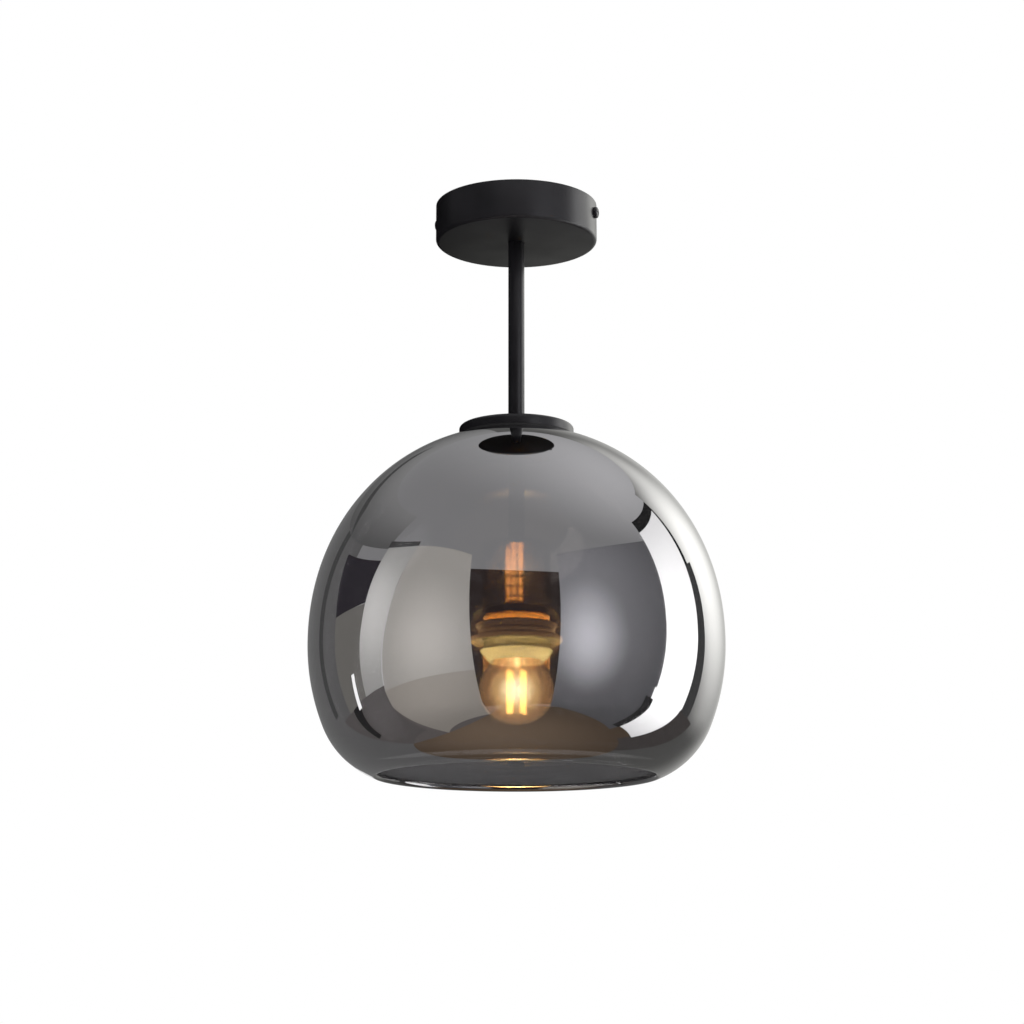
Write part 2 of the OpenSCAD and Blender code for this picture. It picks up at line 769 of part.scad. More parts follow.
// The cup over the wires: grooves rolled into it stiffen the sheet where it grips the body
module holder_cup() {
  cup_r = cup_d / 2;
  groove_w = 3 * cup_groove_depth;
  first_z = cup_rim_z + 0.75 * cup_groove_pitch;
  color(black_metal)
    difference() {
      translate([0, 0, cup_z])
        spun_cup(cup_d, cup_h, cup_wall, cup_edge_r, stem_d + 2 * hole_play);
      for (i = [0 : cup_groove_count - 1])
        translate([0, 0, first_z + i * cup_groove_pitch])
          rotate_extrude()
            polygon([
              [cup_r + 1, -groove_w], [cup_r, -groove_w / 2], [cup_r - cup_groove_depth, -groove_w / 6],
              [cup_r - cup_groove_depth, groove_w / 6], [cup_r, groove_w / 2], [cup_r + 1, groove_w]
            ]);
    }
}

module holder_washer() {
  color(zinc)
    translate([0, 0, cup_z - cup_wall])
      toothed_washer(bush_d, stem_d + 2 * hole_play, washer_t);
}

module holder_locknut() {
  color(zinc)
    translate([0, 0, cup_z - cup_wall - washer_t])
      hex_nut(nut_flats, stem_d + 2 * thread_play, locknut_t);
}

// A stepped sleeve: the part in the cup, the neck in view, and the spigot for collar and rings
module holder_body() {
  grip_r = cup_bore_r - thread_play;
  color(black_plastic)
    rotate_extrude()
      polygon([
        [body_bore_r, cup_rim_z + body_engage], [grip_r, cup_rim_z + body_engage], [grip_r, cup_rim_z],
        [neck_d / 2, cup_rim_z], [neck_d / 2, neck_z], [spigot_r, neck_z],
        [spigot_r, body_z], [body_bore_r, body_z]
      ]);
}

module brass_collar() {
  bevel = 0.6;
  outer_r = collar_d / 2;
  bore_r = spigot_r + thread_play;
  color(brass)
    rotate_extrude()
      polygon([
        [bore_r, neck_z], [outer_r - bevel, neck_z], [outer_r, neck_z - bevel],
        [outer_r, collar_z + bevel], [outer_r - bevel, collar_z], [bore_r, collar_z]
      ]);
}

module upper_shade_ring() {
  flange_h = 2.2;
  waist_r = upper_ring_d / 2 - 1.2;
  groove = 0.7;
  groove_z = collar_z - flange_h - 1.2;
  bore_r = spigot_r + thread_play;
  color(black_plastic)
    rotate_extrude()
      polygon([
        [bore_r, collar_z], [upper_ring_d / 2 - 0.8, collar_z], [upper_ring_d / 2, collar_z - 0.8],
        [upper_ring_d / 2, collar_z - flange_h], [waist_r, collar_z - flange_h],
        [waist_r, groove_z], [waist_r - groove, groove_z - groove],
        [waist_r, groove_z - 2 * groove], [waist_r, upper_ring_z], [bore_r, upper_ring_z]
      ]);
}

module lower_shade_ring() {
  outer_r = lower_ring_d / 2;
  lip_w = 1.6;
  bore_r = spigot_r + thread_play;
  shoulder = 1.2;
  color(black_plastic)
    rotate_extrude()
      polygon([
        [bore_r, upper_ring_z], [outer_r - shoulder, upper_ring_z], [outer_r, upper_ring_z - shoulder],
        [outer_r, lower_ring_z + 0.4], [outer_r - 0.4, lower_ring_z], [outer_r - lip_w, lower_ring_z],
        [outer_r - lip_w, body_z], [bore_r, body_z]
      ]);
}

// Porcelain: a cup for the screw shell, and a nose that narrows down to the bulb
module socket_insert() {
  flange_r = nose_d / 2 - 2;
  mouth_r = globe_neck_at(nose_tip_z) + 0.6;
  flare_z = screw_cap_end_z - 0.4;
  color(white)
    difference() {
      rotate_extrude()
        polygon([
          [0, insert_top_z], [insert_r, insert_top_z], [insert_r, body_z], [flange_r, body_z],
          [flange_r, nose_rim_z + 1.6], [nose_d / 2, nose_rim_z + 0.6], [nose_d / 2, nose_rim_z - 0.2],
          [mouth_r + 1.5, nose_tip_z], [mouth_r, nose_tip_z], [shell_bore_r, flare_z],
          [shell_bore_r, insert_roof_z], [0, insert_roof_z]
        ]);
      translate([terminal_x, 0, insert_roof_z - 1])
        cylinder(r = rivet_r + thread_play, h = insert_roof_t + 2);
    }
}

// Thin sheet rolled into the lamp thread, with a rim that lies under the insert's roof
module screw_shell() {
  rim_z = insert_roof_z - thread_play;
  inner = waves(rim_z - shell_wall, shell_end_z, shell_mean_r);
  outer = widen(inner, shell_wall);
  color(brass)
    rotate_extrude()
      polygon(concat(
        [[shell_mean_r - 1.8, rim_z], [outer[0].x, rim_z]],
        outer, reversed(inner), [[shell_mean_r - 1.8, rim_z - shell_wall]]
      ));
}

// A spring leaf: riveted to the insert's roof, it bends down to the bulb's contact
module centre_contact() {
  leaf_w = 6;
  leaf_t = 0.4;
  top = insert_roof_z - thread_play;
  bottom = insert_roof_z - contact_drop;
  color(copper) {
    translate([0, leaf_w / 2, 0])
      rotate([90, 0, 0])
        linear_extrude(leaf_w)
          polygon([
            [9.6, top], [5, top], [1.8, bottom + leaf_t], [-2.6, bottom + leaf_t],
            [-2.6, bottom], [1.6, bottom], [4.8, top - leaf_t], [9.6, top - leaf_t]
          ]);
    translate([terminal_x, 0, top - leaf_t / 2])
      cylinder(r = rivet_r, h = insert_top_z - top + leaf_t / 2);
  }
}

module socket_terminals() {
  color(brass)
    for (side = [-1, 1])
      difference() {
        translate([side * terminal_x - terminal_size.x / 2, -terminal_size.y / 2, insert_top_z])
          cube(terminal_size);
        translate([side * terminal_x, 0, insert_top_z + 0.8])
          cylinder(d = wire_d + 2 * slip_play, h = terminal_size.z);
        translate([side * terminal_x, 0, insert_top_z + terminal_size.z * 0.55])
          rotate([90, 0, 0])
            cylinder(d = terminal_screw_d + 2 * thread_play, h = terminal_size.y);
      }
}

module socket_screws() {
  color(zinc)
    for (side = [-1, 1])
      translate([side * terminal_x, -terminal_size.y / 2, insert_top_z + terminal_size.z * 0.55])
        rotate([90, 0, 0])
          pan_screw(terminal_screw_d, terminal_size.y / 2 - wire_d / 2 - slip_play, 4.2, 1.4);
}

module bulb_globe() {
  color(clear)
    rotate_extrude()
      polygon(concat(globe_outline(0), reversed(globe_outline(globe_wall))));
}

module bulb_cap() {
  outer = waves(thread_top_z, thread_end_z, thread_mean_d / 2);
  inner = widen(outer, -screw_cap_wall);
  top_r = 10.9;
  color(zinc)
    rotate_extrude()
      polygon(concat(
        [[top_r, screw_cap_z]], outer,
        [[skirt_r, thread_end_z - 0.3], [skirt_r, screw_cap_end_z]],
        [[skirt_r - screw_cap_wall, screw_cap_end_z], [skirt_r - screw_cap_wall, thread_end_z - 0.3]],
        reversed(inner), [[top_r - screw_cap_wall, screw_cap_z - screw_cap_wall]]
      ));
}

module bulb_insulator() {
  color(black_plastic)
    rotate_extrude()
      polygon([
        [2.2, screw_cap_z], [10.9, screw_cap_z], [5.2, screw_cap_z + insulator_h],
        [2.2, screw_cap_z + insulator_h]
      ]);
}

module bulb_contact() {
  base = screw_cap_z + insulator_h;
  color(zinc) {
    rotate_extrude()
      polygon(concat([[0, base]], [[4.8, base], [4.8, base + 0.4], [3.4, base + 0.9], [0, tip_z]]));
    translate([0, 0, screw_cap_z]) cylinder(r = 2, h = insulator_h + 0.2);
  }
}

// The glass mount inside the neck: a flare that closes the globe, and a stem with a flattened press
module bulb_stem() {
  flare_r = globe_neck_r - globe_wall - 0.1;
  top = globe_neck_z;
  color(clear)
    rotate_extrude()
      polygon([
        [0, top], [flare_r, top], [flare_r, top - 1], [5, top - 3.2], [3.1, top - 7],
        [2.7, stem_tip_z + 1.8], [1.4, stem_tip_z + 0.2], [0, stem_tip_z]
      ]);
}

// Spokes of wire, one to each filament
module spokes(from_r, z) {
  for (i = [0 : filament_count - 1])
    rotate(360 * i / filament_count + 45)
      translate([from_r, 0, z])
        rotate([0, 90, 0]) cylinder(d = lead_d, h = filament_r + lead_d - from_r);
}

// Two wire spiders hold the filaments: the upper one round the stem, the lower one on a centre rod
module filament_leads() {
  low_z = filament_z - filament_len - lead_d / 2;
  hub_r = 1;
  color(zinc) {
    translate([0, 0, low_z]) cylinder(d = lead_d, h = stem_tip_z - thread_play - low_z);
    translate([0, 0, low_z - lead_d * 0.7]) cylinder(r = hub_r, h = lead_d * 1.4);
    spokes(hub_r * 0.7, low_z);
    translate([0, 0, filament_z + lead_d * 1.1]) flat_ring(7.2, 5.8, lead_d * 1.2);
    spokes(3.2, filament_z + lead_d / 2);
  }
}

module led_filaments() {
  color([1, 0.86, 0.5])
    for (i = [0 : filament_count - 1])
      rotate(360 * i / filament_count + 45)
        translate([filament_r, 0, filament_z - filament_len]) cylinder(d = filament_d, h = filament_len);
}

// The driver: an upright board with a capacitor and a small converter chip
module driver_board() {
  board = [thread_mean_d - thread_depth - 2 * screw_cap_wall - 0.6, 1, 12];
  board_z = screw_cap_z - 2;
  chip = [5, 1.6, 4];
  capacitor_d = 5;
  capacitor_h = 8;
  sink = 0.1;
  color([0.1, 0.35, 0.2]) {
    translate([-board.x / 2, -board.y / 2, board_z - board.z]) cube(board);
    translate([-0.9 * chip.x, board.y / 2 - sink, board_z - 0.75 * board.z]) cube(chip);
    translate([capacitor_d, (board.y + capacitor_d) / 2 - sink, board_z - 0.83 * board.z])
      cylinder(d = capacitor_d, h = capacitor_h);
  }
}

module live_wire() {
  color([0.45, 0.28, 0.18]) wire(lamp_wire(-1), wire_d);
}

module neutral_wire() {
  color([0.25, 0.45, 0.75]) wire(lamp_wire(1), wire_d);
}

module earth_wire() {
  color([0.45, 0.6, 0.2]) wire(earth_route, wire_d);
}

mounting_bracket();
canopy();
canopy_screw_right();
canopy_screw_left();
terminal_block();
terminal_barrels();
terminal_screws();
block_screws();
earth_screw();
earth_ring();
canopy_bush();
stem_washer();
stem_locknut();
stem_tube();
shade_cap();
cap_bush();
cap_gasket();
glass_shade();
plate_gasket();
retaining_plate();
plate_nut();
holder_cup();
holder_washer();
holder_locknut();
holder_body();
brass_collar();
upper_shade_ring();
lower_shade_ring();
socket_insert();
screw_shell();
centre_contact();
socket_terminals();
socket_screws();
bulb_globe();
bulb_cap();
bulb_insulator();
bulb_contact();
bulb_stem();
filament_leads();
led_filaments();
driver_board();
live_wire();
neutral_wire();
earth_wire();
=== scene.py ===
# %% [markdown]
# # A ceiling light with a smoked glass shade
# This notebook dresses the model of a semi-flush ceiling light for a product picture. The frame gives
# every part at its real size. Nearly all of this light is turned, spun or blown round one axis, so most
# pieces are made the way a lathe makes them: half an outline is drawn and spun once round.
# The looks come from what each piece is: powder-coated steel, phenolic, brass, porcelain and blown glass.

# %% Load the frame
import math

import bmesh
import bpy
from mathutils import Matrix, Vector


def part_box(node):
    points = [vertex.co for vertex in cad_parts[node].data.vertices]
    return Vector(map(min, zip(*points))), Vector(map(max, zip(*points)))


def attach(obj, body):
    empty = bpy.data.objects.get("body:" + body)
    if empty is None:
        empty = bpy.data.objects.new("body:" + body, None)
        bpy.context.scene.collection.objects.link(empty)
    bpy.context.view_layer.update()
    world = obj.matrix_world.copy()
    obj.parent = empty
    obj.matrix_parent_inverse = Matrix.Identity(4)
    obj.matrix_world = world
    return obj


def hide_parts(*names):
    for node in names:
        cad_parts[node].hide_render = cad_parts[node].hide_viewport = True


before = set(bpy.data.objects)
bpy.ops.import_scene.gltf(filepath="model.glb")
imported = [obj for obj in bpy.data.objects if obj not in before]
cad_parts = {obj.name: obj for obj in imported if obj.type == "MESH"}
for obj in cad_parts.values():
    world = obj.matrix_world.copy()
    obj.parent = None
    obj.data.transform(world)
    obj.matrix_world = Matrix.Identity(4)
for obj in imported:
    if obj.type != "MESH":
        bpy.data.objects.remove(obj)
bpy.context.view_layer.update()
bpy.ops.object.select_all(action="DESELECT")

# %% [markdown]
# ## Measures
# The frame is in metres, but lamp parts are drawn in millimetres, so one factor turns one into the other.
# The heights of neighbours are read from the frame, and a new piece then meets them exactly.

# %% Heights and widths of the frame's parts, in millimetres
MM = 0.001


def top(part):
    """Height of a part's upper end, in millimetres."""
    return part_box(part)[1].z / MM


def foot(part):
    """Height of a part's lower end, in millimetres."""
    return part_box(part)[0].z / MM


def reach(part):
    """Radius of a round part, in millimetres."""
    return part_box(part)[1].x / MM


print("shade foot %.2f, canopy foot %.2f, cup top %.2f" % (foot("glass_shade"), foot("canopy"), top("holder_cup")))

# %% [markdown]
# ## The camera
# The picture is taken from a little below the shade, looking up by 12 degrees, with a long lens at about
# one and a half metres. A long lens keeps the two round ends of the light nearly the same size. The light is
# turned so that its right side screw comes 14 degrees towards the camera.

# %% Place the camera
view_turn = math.radians(14.4)
view_rise = math.radians(12.3)
view_distance, view_shift, view_height = 1.4436, -0.0027, -0.5097
focal_pixels, picture_pixels = 2434, 1024
ahead = Vector((-math.sin(view_turn), math.cos(view_turn), 0))
right = Vector((math.cos(view_turn), math.sin(view_turn), 0))
sight = ahead * math.cos(view_rise) + Vector((0, 0, math.sin(view_rise)))
up = right.cross(sight)
bpy.ops.object.camera_add()
camera = bpy.context.object
camera.location = -ahead * view_distance + right * view_shift + Vector((0, 0, view_height))
camera.rotation_euler = Matrix((right, up, -sight)).transposed().to_euler()
camera.data.sensor_width = 36
camera.data.lens = focal_pixels / picture_pixels * camera.data.sensor_width
bpy.context.scene.camera = camera
print("camera at", [round(v, 3) for v in camera.location], "lens %.1f mm" % camera.data.lens)

# %% [markdown]
# ## A lathe in a few operators
# A single point is drawn out into an outline with extrude, and spin carries the outline round the axis.
# A screw modifier could do the same, but spin leaves a plain closed mesh that can be cut and bevelled.
# `soften` rounds the corners of an outline first, because a spun or turned edge is never razor sharp.

# %% Outlines
def arc(centre, radius, start, end, steps):
    """Points along an arc, with angles in degrees."""
    turns = [math.radians(start + (end - start) * i / steps) for i in range(steps + 1)]
    return [(centre[0] + radius * math.cos(t), centre[1] + radius * math.sin(t)) for t in turns]


def soften(corners, steps=5):
    """Rounds a closed outline of (radius, height, fillet) corners."""
    outline = []
    for i, (x, z, fillet) in enumerate(corners):
        here = Vector((x, z))
        if fillet == 0:
            outline.append((x, z))
            continue
        before = (Vector(corners[i - 1][:2]) - here).normalized()
        after = (Vector(corners[(i + 1) % len(corners)][:2]) - here).normalized()
        half = before.angle(after) / 2
        centre = here + (before + after).normalized() * fillet / math.sin(half)
        first = here + before * fillet / math.tan(half) - centre
        last = here + after * fillet / math.tan(half) - centre
        bend = first.angle_signed(last)
        for k in range(steps + 1):
            spoke = first.copy()
            spoke.rotate(Matrix.Rotation(-bend * k / steps, 2))
            outline.append(tuple(centre + spoke))
    return outline


print("a softened square has", len(soften([(0, 0, 1), (9, 0, 1), (9, 9, 1), (0, 9, 1)])), "points")

# %% [markdown]
# The lathe itself. Edit-mode operators act on what is selected, so every step selects what it needs.
# The mesh is in metres and its object stays at the origin, as the frame's own parts do.

# %% The lathe
def pick(piece, test):
    """Selects the vertices of a piece in edit mode whose place, in millimetres, passes the test."""
    bpy.ops.mesh.select_all(action="DESELECT")
    mesh = bmesh.from_edit_mesh(piece.data)
    for vert in mesh.verts:
        vert.select = bool(test(vert.co / MM))
    mesh.select_flush_mode()
    bmesh.update_edit_mesh(piece.data)


def lathe(name, outline, steps=128, smooth=32):
    """A piece turned from a closed row of (radius, height) points."""
    points = [Vector((r, 0, z)) * MM for r, z in outline]
    bpy.ops.object.select_all(action="DESELECT")
    bpy.ops.mesh.primitive_plane_add(size=MM)
    piece = bpy.context.object
    piece.name = piece.data.name = name
    bpy.ops.object.mode_set(mode="EDIT")
    bpy.ops.mesh.merge(type="CENTER")
    bpy.ops.transform.translate(value=points[0])
    for here, there in zip(points, points[1:]):
        bpy.ops.mesh.extrude_vertices_move(TRANSFORM_OT_translate={"value": there - here})
    ends = (points[0] / MM, points[-1] / MM)
    pick(piece, lambda p: min((p - e).length for e in ends) < 1e-3)
    bpy.ops.mesh.edge_face_add()
    bpy.ops.mesh.select_all(action="SELECT")
    bpy.ops.mesh.spin(steps=steps, angle=math.tau, center=(0, 0, 0), axis=(0, 0, 1))
    bpy.ops.mesh.select_all(action="SELECT")
    bpy.ops.mesh.remove_doubles(threshold=0.002 * MM)
    bpy.ops.mesh.normals_make_consistent(inside=False)
    bpy.ops.object.mode_set(mode="OBJECT")
    bpy.ops.object.shade_smooth_by_angle(angle=math.radians(smooth))
    return piece


def settle(piece, node, finish, body="light"):
    """Gives a new piece its finish, and lets it stand for a part of the frame."""
    piece.data.materials.clear()
    piece.data.materials.append(finish)
    if node:
        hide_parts(node)
    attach(piece, body)
    print(piece.name, len(piece.data.polygons), "faces")


def cut(piece, cutter):
    """Takes one solid out of another with an exact boolean."""
    bpy.ops.object.select_all(action="DESELECT")
    piece.select_set(True)
    bpy.context.view_layer.objects.active = piece
    tool = piece.modifiers.new("cut", "BOOLEAN")
    tool.operation, tool.solver, tool.object = "DIFFERENCE", "EXACT", cutter
    bpy.ops.object.modifier_apply(modifier=tool.name)
    bpy.data.objects.remove(cutter)


# %% [markdown]
# ## Working with materials
# Colours are noted as sRGB hex values, as they are read off a sample, and turned to the linear values that
# the renderer wants. One small function adds a shader node with its settings and its links.

# %% Colours and shader nodes
def colour(code):
    """A linear RGBA colour from an sRGB hex code."""
    parts = [int(code[i:i + 2], 16) / 255 for i in (1, 3, 5)]
    return [p / 12.92 if p <= 0.04045 else ((p + 0.055) / 1.055) ** 2.4 for p in parts] + [1]


def add(tree, kind, settings=(), **links):
    """Adds a shader node. A setting names a property or an input, and a link leads from a node or its socket."""
    node = tree.nodes.new("ShaderNode" + kind)
    for key, value in dict(settings).items():
        if isinstance(key, str) and hasattr(node, key):
            setattr(node, key, value)
        else:
            node.inputs[key].default_value = value
    for key, source in links.items():
        place = int(key[2:]) if key.startswith("in") else key.replace("_", " ")
        tree.links.new(source.outputs[0] if hasattr(source, "outputs") else source, node.inputs[place])
    return node


def new_finish(name, settings):
    """A material with one Principled shader, and the place on the piece that its patterns start from."""
    finish = bpy.data.materials.new(name)
    finish.use_nodes = True
    tree = finish.node_tree
    shader = tree.nodes["Principled BSDF"]
    for key, value in settings.items():
        shader.inputs[key].default_value = value
    where = add(tree, "TexCoord").outputs["Object"]
    return finish, tree, shader, where


def wire_up(tree, shader, **sources):
    """Links the first output of each node to a socket of the shader."""
    for key, node in sources.items():
        tree.links.new(node.outputs[0], shader.inputs[key.replace("_", " ")])


PER_MM = 1000.0
print("mid grey is", [round(c, 3) for c in colour("#808080")])

# %% [markdown]
# ## Powder-coated steel
# The canopy, the stem, the shade's cap and the lampholder's cup are spun or drawn steel with a black
# powder coat. Powder flows out into a faint orange peel, with dimples about a millimetre apart, and it is
# satin rather than glossy. The coat is a plastic, so it isn't metallic, and its IOR is near 1.5. A noise's
# scale is the number of its lumps in a metre, so 1000 divided by a size in millimetres.

# %% Finish: black powder coat
black_coat, tree, shader, where = new_finish("black_powder_coat", {"IOR": 1.5})
cloud = add(tree, "TexNoise", {"Scale": PER_MM / 22, "Detail": 3}, Vector=where)
tone = add(tree, "Mix", {"data_type": "RGBA", 6: colour("#121113"), 7: colour("#1b1a1d")}, in0=cloud)
satin = add(tree, "MapRange", {"From Min": 0.3, "From Max": 0.7, "To Min": 0.30, "To Max": 0.38}, Value=cloud)
peel = add(tree, "TexNoise", {"Scale": PER_MM / 1.1, "Detail": 1}, Vector=where)
dimples = add(tree, "Bump", {"Strength": 0.6, "Distance": 0.012 * MM}, Height=peel)
tree.links.new(tone.outputs[2], shader.inputs["Base Color"])
wire_up(tree, shader, Roughness=satin, Normal=dimples)
print(black_coat.name, len(tree.nodes), "nodes")

# %% [markdown]
# ## Phenolic
# The lampholder's body and its two shade rings are moulded from black phenolic, a hard plastic that takes
# the heat of a lamp. It is a warmer, browner black than the coat, with a dull gloss. The resin runs down the
# mould, so the marks of its flow are drawn out along the axis, which a Mapping node with a small Z scale does.

# %% Finish: moulded phenolic
phenolic, tree, shader, where = new_finish("moulded_black_phenolic", {"IOR": 1.6})
drawn_out = add(tree, "Mapping", {"Scale": (1, 1, 0.3)}, Vector=where)
flow = add(tree, "TexNoise", {"Scale": PER_MM / 5, "Detail": 3}, Vector=drawn_out)
tone = add(tree, "Mix", {"data_type": "RGBA", 6: colour("#261b16"), 7: colour("#34251d")}, in0=flow)
gloss = add(tree, "MapRange", {"From Min": 0.3, "From Max": 0.7, "To Min": 0.34, "To Max": 0.44}, Value=flow)
pores = add(tree, "TexNoise", {"Scale": PER_MM / 0.6, "Detail": 2}, Vector=where)
skin_marks = add(tree, "Bump", {"Strength": 0.5, "Distance": 0.003 * MM}, Height=pores)
tree.links.new(tone.outputs[2], shader.inputs["Base Color"])
wire_up(tree, shader, Roughness=gloss, Normal=skin_marks)
print(phenolic.name, len(tree.nodes), "nodes")

# %% [markdown]
# ## Brass and black nickel
# The collar and the nut are turned brass, and the lampholder's cup is spun steel under black nickel plate. A
# tool leaves fine rings on both, which a noise that is squeezed along the axis draws as lines 0.3 mm apart.
# A metal colours its reflections, so both are fully metallic. The plate is dark but still a mirror: the lit
# filaments show in it as a streak, by way of the shade's film.

# %% Finishes: turned brass and black nickel
def turned_finish(name, first, second, smooth, dull, ring_depth_mm):
    """A turned metal of two tones, with the rings that the tool leaves."""
    finish, tree, shader, where = new_finish(name, {"Metallic": 1.0})
    squeezed = add(tree, "Mapping", {"Scale": (1, 1, 20)}, Vector=where)
    rings = add(tree, "TexNoise", {"Scale": PER_MM / 6, "Detail": 2}, Vector=squeezed)
    patina = add(tree, "TexNoise", {"Scale": PER_MM / 9, "Detail": 3}, Vector=where)
    tone = add(tree, "Mix", {"data_type": "RGBA", 6: colour(first), 7: colour(second)}, in0=patina)
    polish = add(tree, "MapRange", {"From Min": 0.3, "From Max": 0.7, "To Min": smooth, "To Max": dull},
                 Value=rings)
    tool_marks = add(tree, "Bump", {"Strength": 0.5, "Distance": ring_depth_mm * MM}, Height=rings)
    tree.links.new(tone.outputs[2], shader.inputs["Base Color"])
    wire_up(tree, shader, Roughness=polish, Normal=tool_marks)
    print(name, len(tree.nodes), "nodes")
    return finish


brass = turned_finish("turned_brass", "#a87c3c", "#c49a58", 0.18, 0.32, 0.008)
black_nickel = turned_finish("black_nickel_plate", "#76706c", "#857f7a", 0.14, 0.22, 0.003)

# %% [markdown]
# ## Smoked half-mirror glass
# The shade is blown glass with a thin metal film, so it works as a weak mirror and as dark glass at once. The
# film reflects part of the light as a metal does, and swallows part of the rest. Both are plain numbers:
# metallic for the film, and transmission and colour for the glass. The outer skin has most of the film and
# shows the room, and the inner skin has a thinner one, in which the bulb shows once more. Blown glass is
# never quite even, so a broad bump of a few hundredths of a millimetre makes the reflections swim a little.

# %% Finish: smoked glass, outside and inside
def glass_finish(name, settings, wave_mm, wave_depth_mm, haze_level=0.0):
    """A blown glass with broad waves and a trace of haze."""
    finish, tree, shader, where = new_finish(name, {"IOR": 1.5, "Transmission Weight": 1.0, **settings})
    smear = add(tree, "TexNoise", {"Scale": PER_MM / 18, "Detail": 3}, Vector=where)
    haze = add(tree, "MapRange", {"From Min": 0.4, "From Max": 0.7, "To Min": haze_level,
                                  "To Max": haze_level + 0.02}, Value=smear)
    swim = add(tree, "TexNoise", {"Scale": PER_MM / wave_mm, "Detail": 1}, Vector=where)
    waves = add(tree, "Bump", {"Strength": 0.5, "Distance": wave_depth_mm * MM}, Height=swim)
    wire_up(tree, shader, Roughness=haze, Normal=waves)
    return finish, tree, shader


wave_mm, wave_depth_mm = 46, 0.05
film_glass = glass_finish(
    "smoked_glass_outer_film", {"Metallic": 0.85, "Base Color": colour("#aeadae")}, wave_mm, wave_depth_mm)[0]
inner_glass = glass_finish(
    "smoked_glass_inner_film", {"Metallic": 0.35, "Base Color": colour("#dad9da")}, wave_mm, wave_depth_mm)[0]
print(film_glass.name, "and", inner_glass.name)

# %% [markdown]
# ## Porcelain
# The lampholder's insert is pressed porcelain under a clear glaze. The body is cream and a little mottled,
# and the glaze lies over it as a glossy coat with shallow waves.

# %% Finish: glazed porcelain
porcelain, tree, shader, where = new_finish(
    "glazed_porcelain", {"Roughness": 0.3, "IOR": 1.52, "Coat Weight": 0.8, "Coat Roughness": 0.06})
mottle = add(tree, "TexNoise", {"Scale": PER_MM / 2.5, "Detail": 3}, Vector=where)
tone = add(tree, "Mix", {"data_type": "RGBA", 6: colour("#e9dcc2"), 7: colour("#f6efe0")}, in0=mottle)
glaze = add(tree, "TexNoise", {"Scale": PER_MM / 3.2, "Detail": 2}, Vector=where)
waves = add(tree, "Bump", {"Strength": 0.6, "Distance": 0.05 * MM}, Height=glaze)
tree.links.new(tone.outputs[2], shader.inputs["Base Color"])
wire_up(tree, shader, Normal=waves)
print(porcelain.name, len(tree.nodes), "nodes")

# %% [markdown]
# ## The bulb's glass and its filaments
# The bulb is a golf-ball lamp with a faint amber tint. When it is lit, its glass scatters a little of the
# light, most of all where the eye looks straight through the wall at the filaments, and less towards the edge.
# That glow is painted on the glass as emission: Layer Weight measures the slant, and a ramp of colours turns it
# into a halo. The filaments are LED strips under a yellow phosphor: lit, they are far brighter than anything
# near them, and most over each chip.

# %% Finish: amber bulb glass and lit phosphor
bulb_glass, tree, shader = glass_finish(
    "amber_bulb_glass", {"Base Color": colour("#fdeed6"), "Emission Strength": 5.4}, 20, 0.04, 0.02)
# Painted glow: emission on the glass, bright face-on and dim at the rim, for the light that the glass scatters.
slant = add(tree, "LayerWeight", {"Blend": 0.5}).outputs["Facing"]
halo = add(tree, "ValToRGB", in0=slant)
stops = halo.color_ramp.elements
halo_rim_glow = colour("#383025")
stops[0].color = colour("#fff6dc")
stops[1].color = halo_rim_glow
for place, code in ((0.06, "#cbb381"), (0.15, "#7f5d3c"), (0.35, "#584530")):
    stops.new(place).color = colour(code)
stops.new(0.8).color = halo_rim_glow
tree.links.new(halo.outputs["Color"], shader.inputs["Emission Color"])
glowing, tree, shader, where = new_finish("lit_led_phosphor", {
    "Roughness": 0.6, "Base Color": colour("#f4cf62"), "Emission Strength": 360.0})
chips = add(tree, "TexNoise", {"Scale": PER_MM / 1.6, "Detail": 1}, Vector=where)
tone = add(tree, "Mix", {"data_type": "RGBA", 6: colour("#ffc46c"), 7: colour("#ffd180")}, in0=chips)
drops = add(tree, "Bump", {"Strength": 0.5, "Distance": 0.1 * MM}, Height=chips)
tree.links.new(tone.outputs[2], shader.inputs["Emission Color"])
wire_up(tree, shader, Normal=drops)
print(bulb_glass.name, "and", glowing.name)

# %% [markdown]
# ## Metals and plastics inside
# The crossbar, nuts, washers and screws are zinc-plated steel, whose passivated film shows broad patches of
# faint blue and yellow. The bulb's cap is nickel-plated. The spring contact is a copper alloy, the terminal
# block is natural nylon, the gaskets are rubber, and the wires have smooth PVC insulation. One recipe serves
# them all: two colours in patches, a roughness that follows the patches, and a fine grain as relief.

# %% Finishes: plated metals, plastics, rubber and insulation
def patchy_finish(name, first, second, patch_mm, rough, grain_mm, grain_depth_mm, settings):
    """Two colours in patches, with a roughness that follows them and a fine grain."""
    finish, tree, shader, where = new_finish(name, settings)
    patch = add(tree, "TexNoise", {"Scale": PER_MM / patch_mm, "Detail": 3}, Vector=where)
    tone = add(tree, "Mix", {"data_type": "RGBA", 6: colour(first), 7: colour(second)}, in0=patch)
    sheen = add(tree, "MapRange", {"From Min": 0.3, "From Max": 0.7, "To Min": rough - 0.06,
                                   "To Max": rough + 0.08}, Value=patch)
    grit = add(tree, "TexNoise", {"Scale": PER_MM / grain_mm, "Detail": 2}, Vector=where)
    marks = add(tree, "Bump", {"Strength": 0.6, "Distance": grain_depth_mm * MM}, Height=grit)
    tree.links.new(tone.outputs[2], shader.inputs["Base Color"])
    wire_up(tree, shader, Roughness=sheen, Normal=marks)
    print(name, len(tree.nodes), "nodes")
    return finish


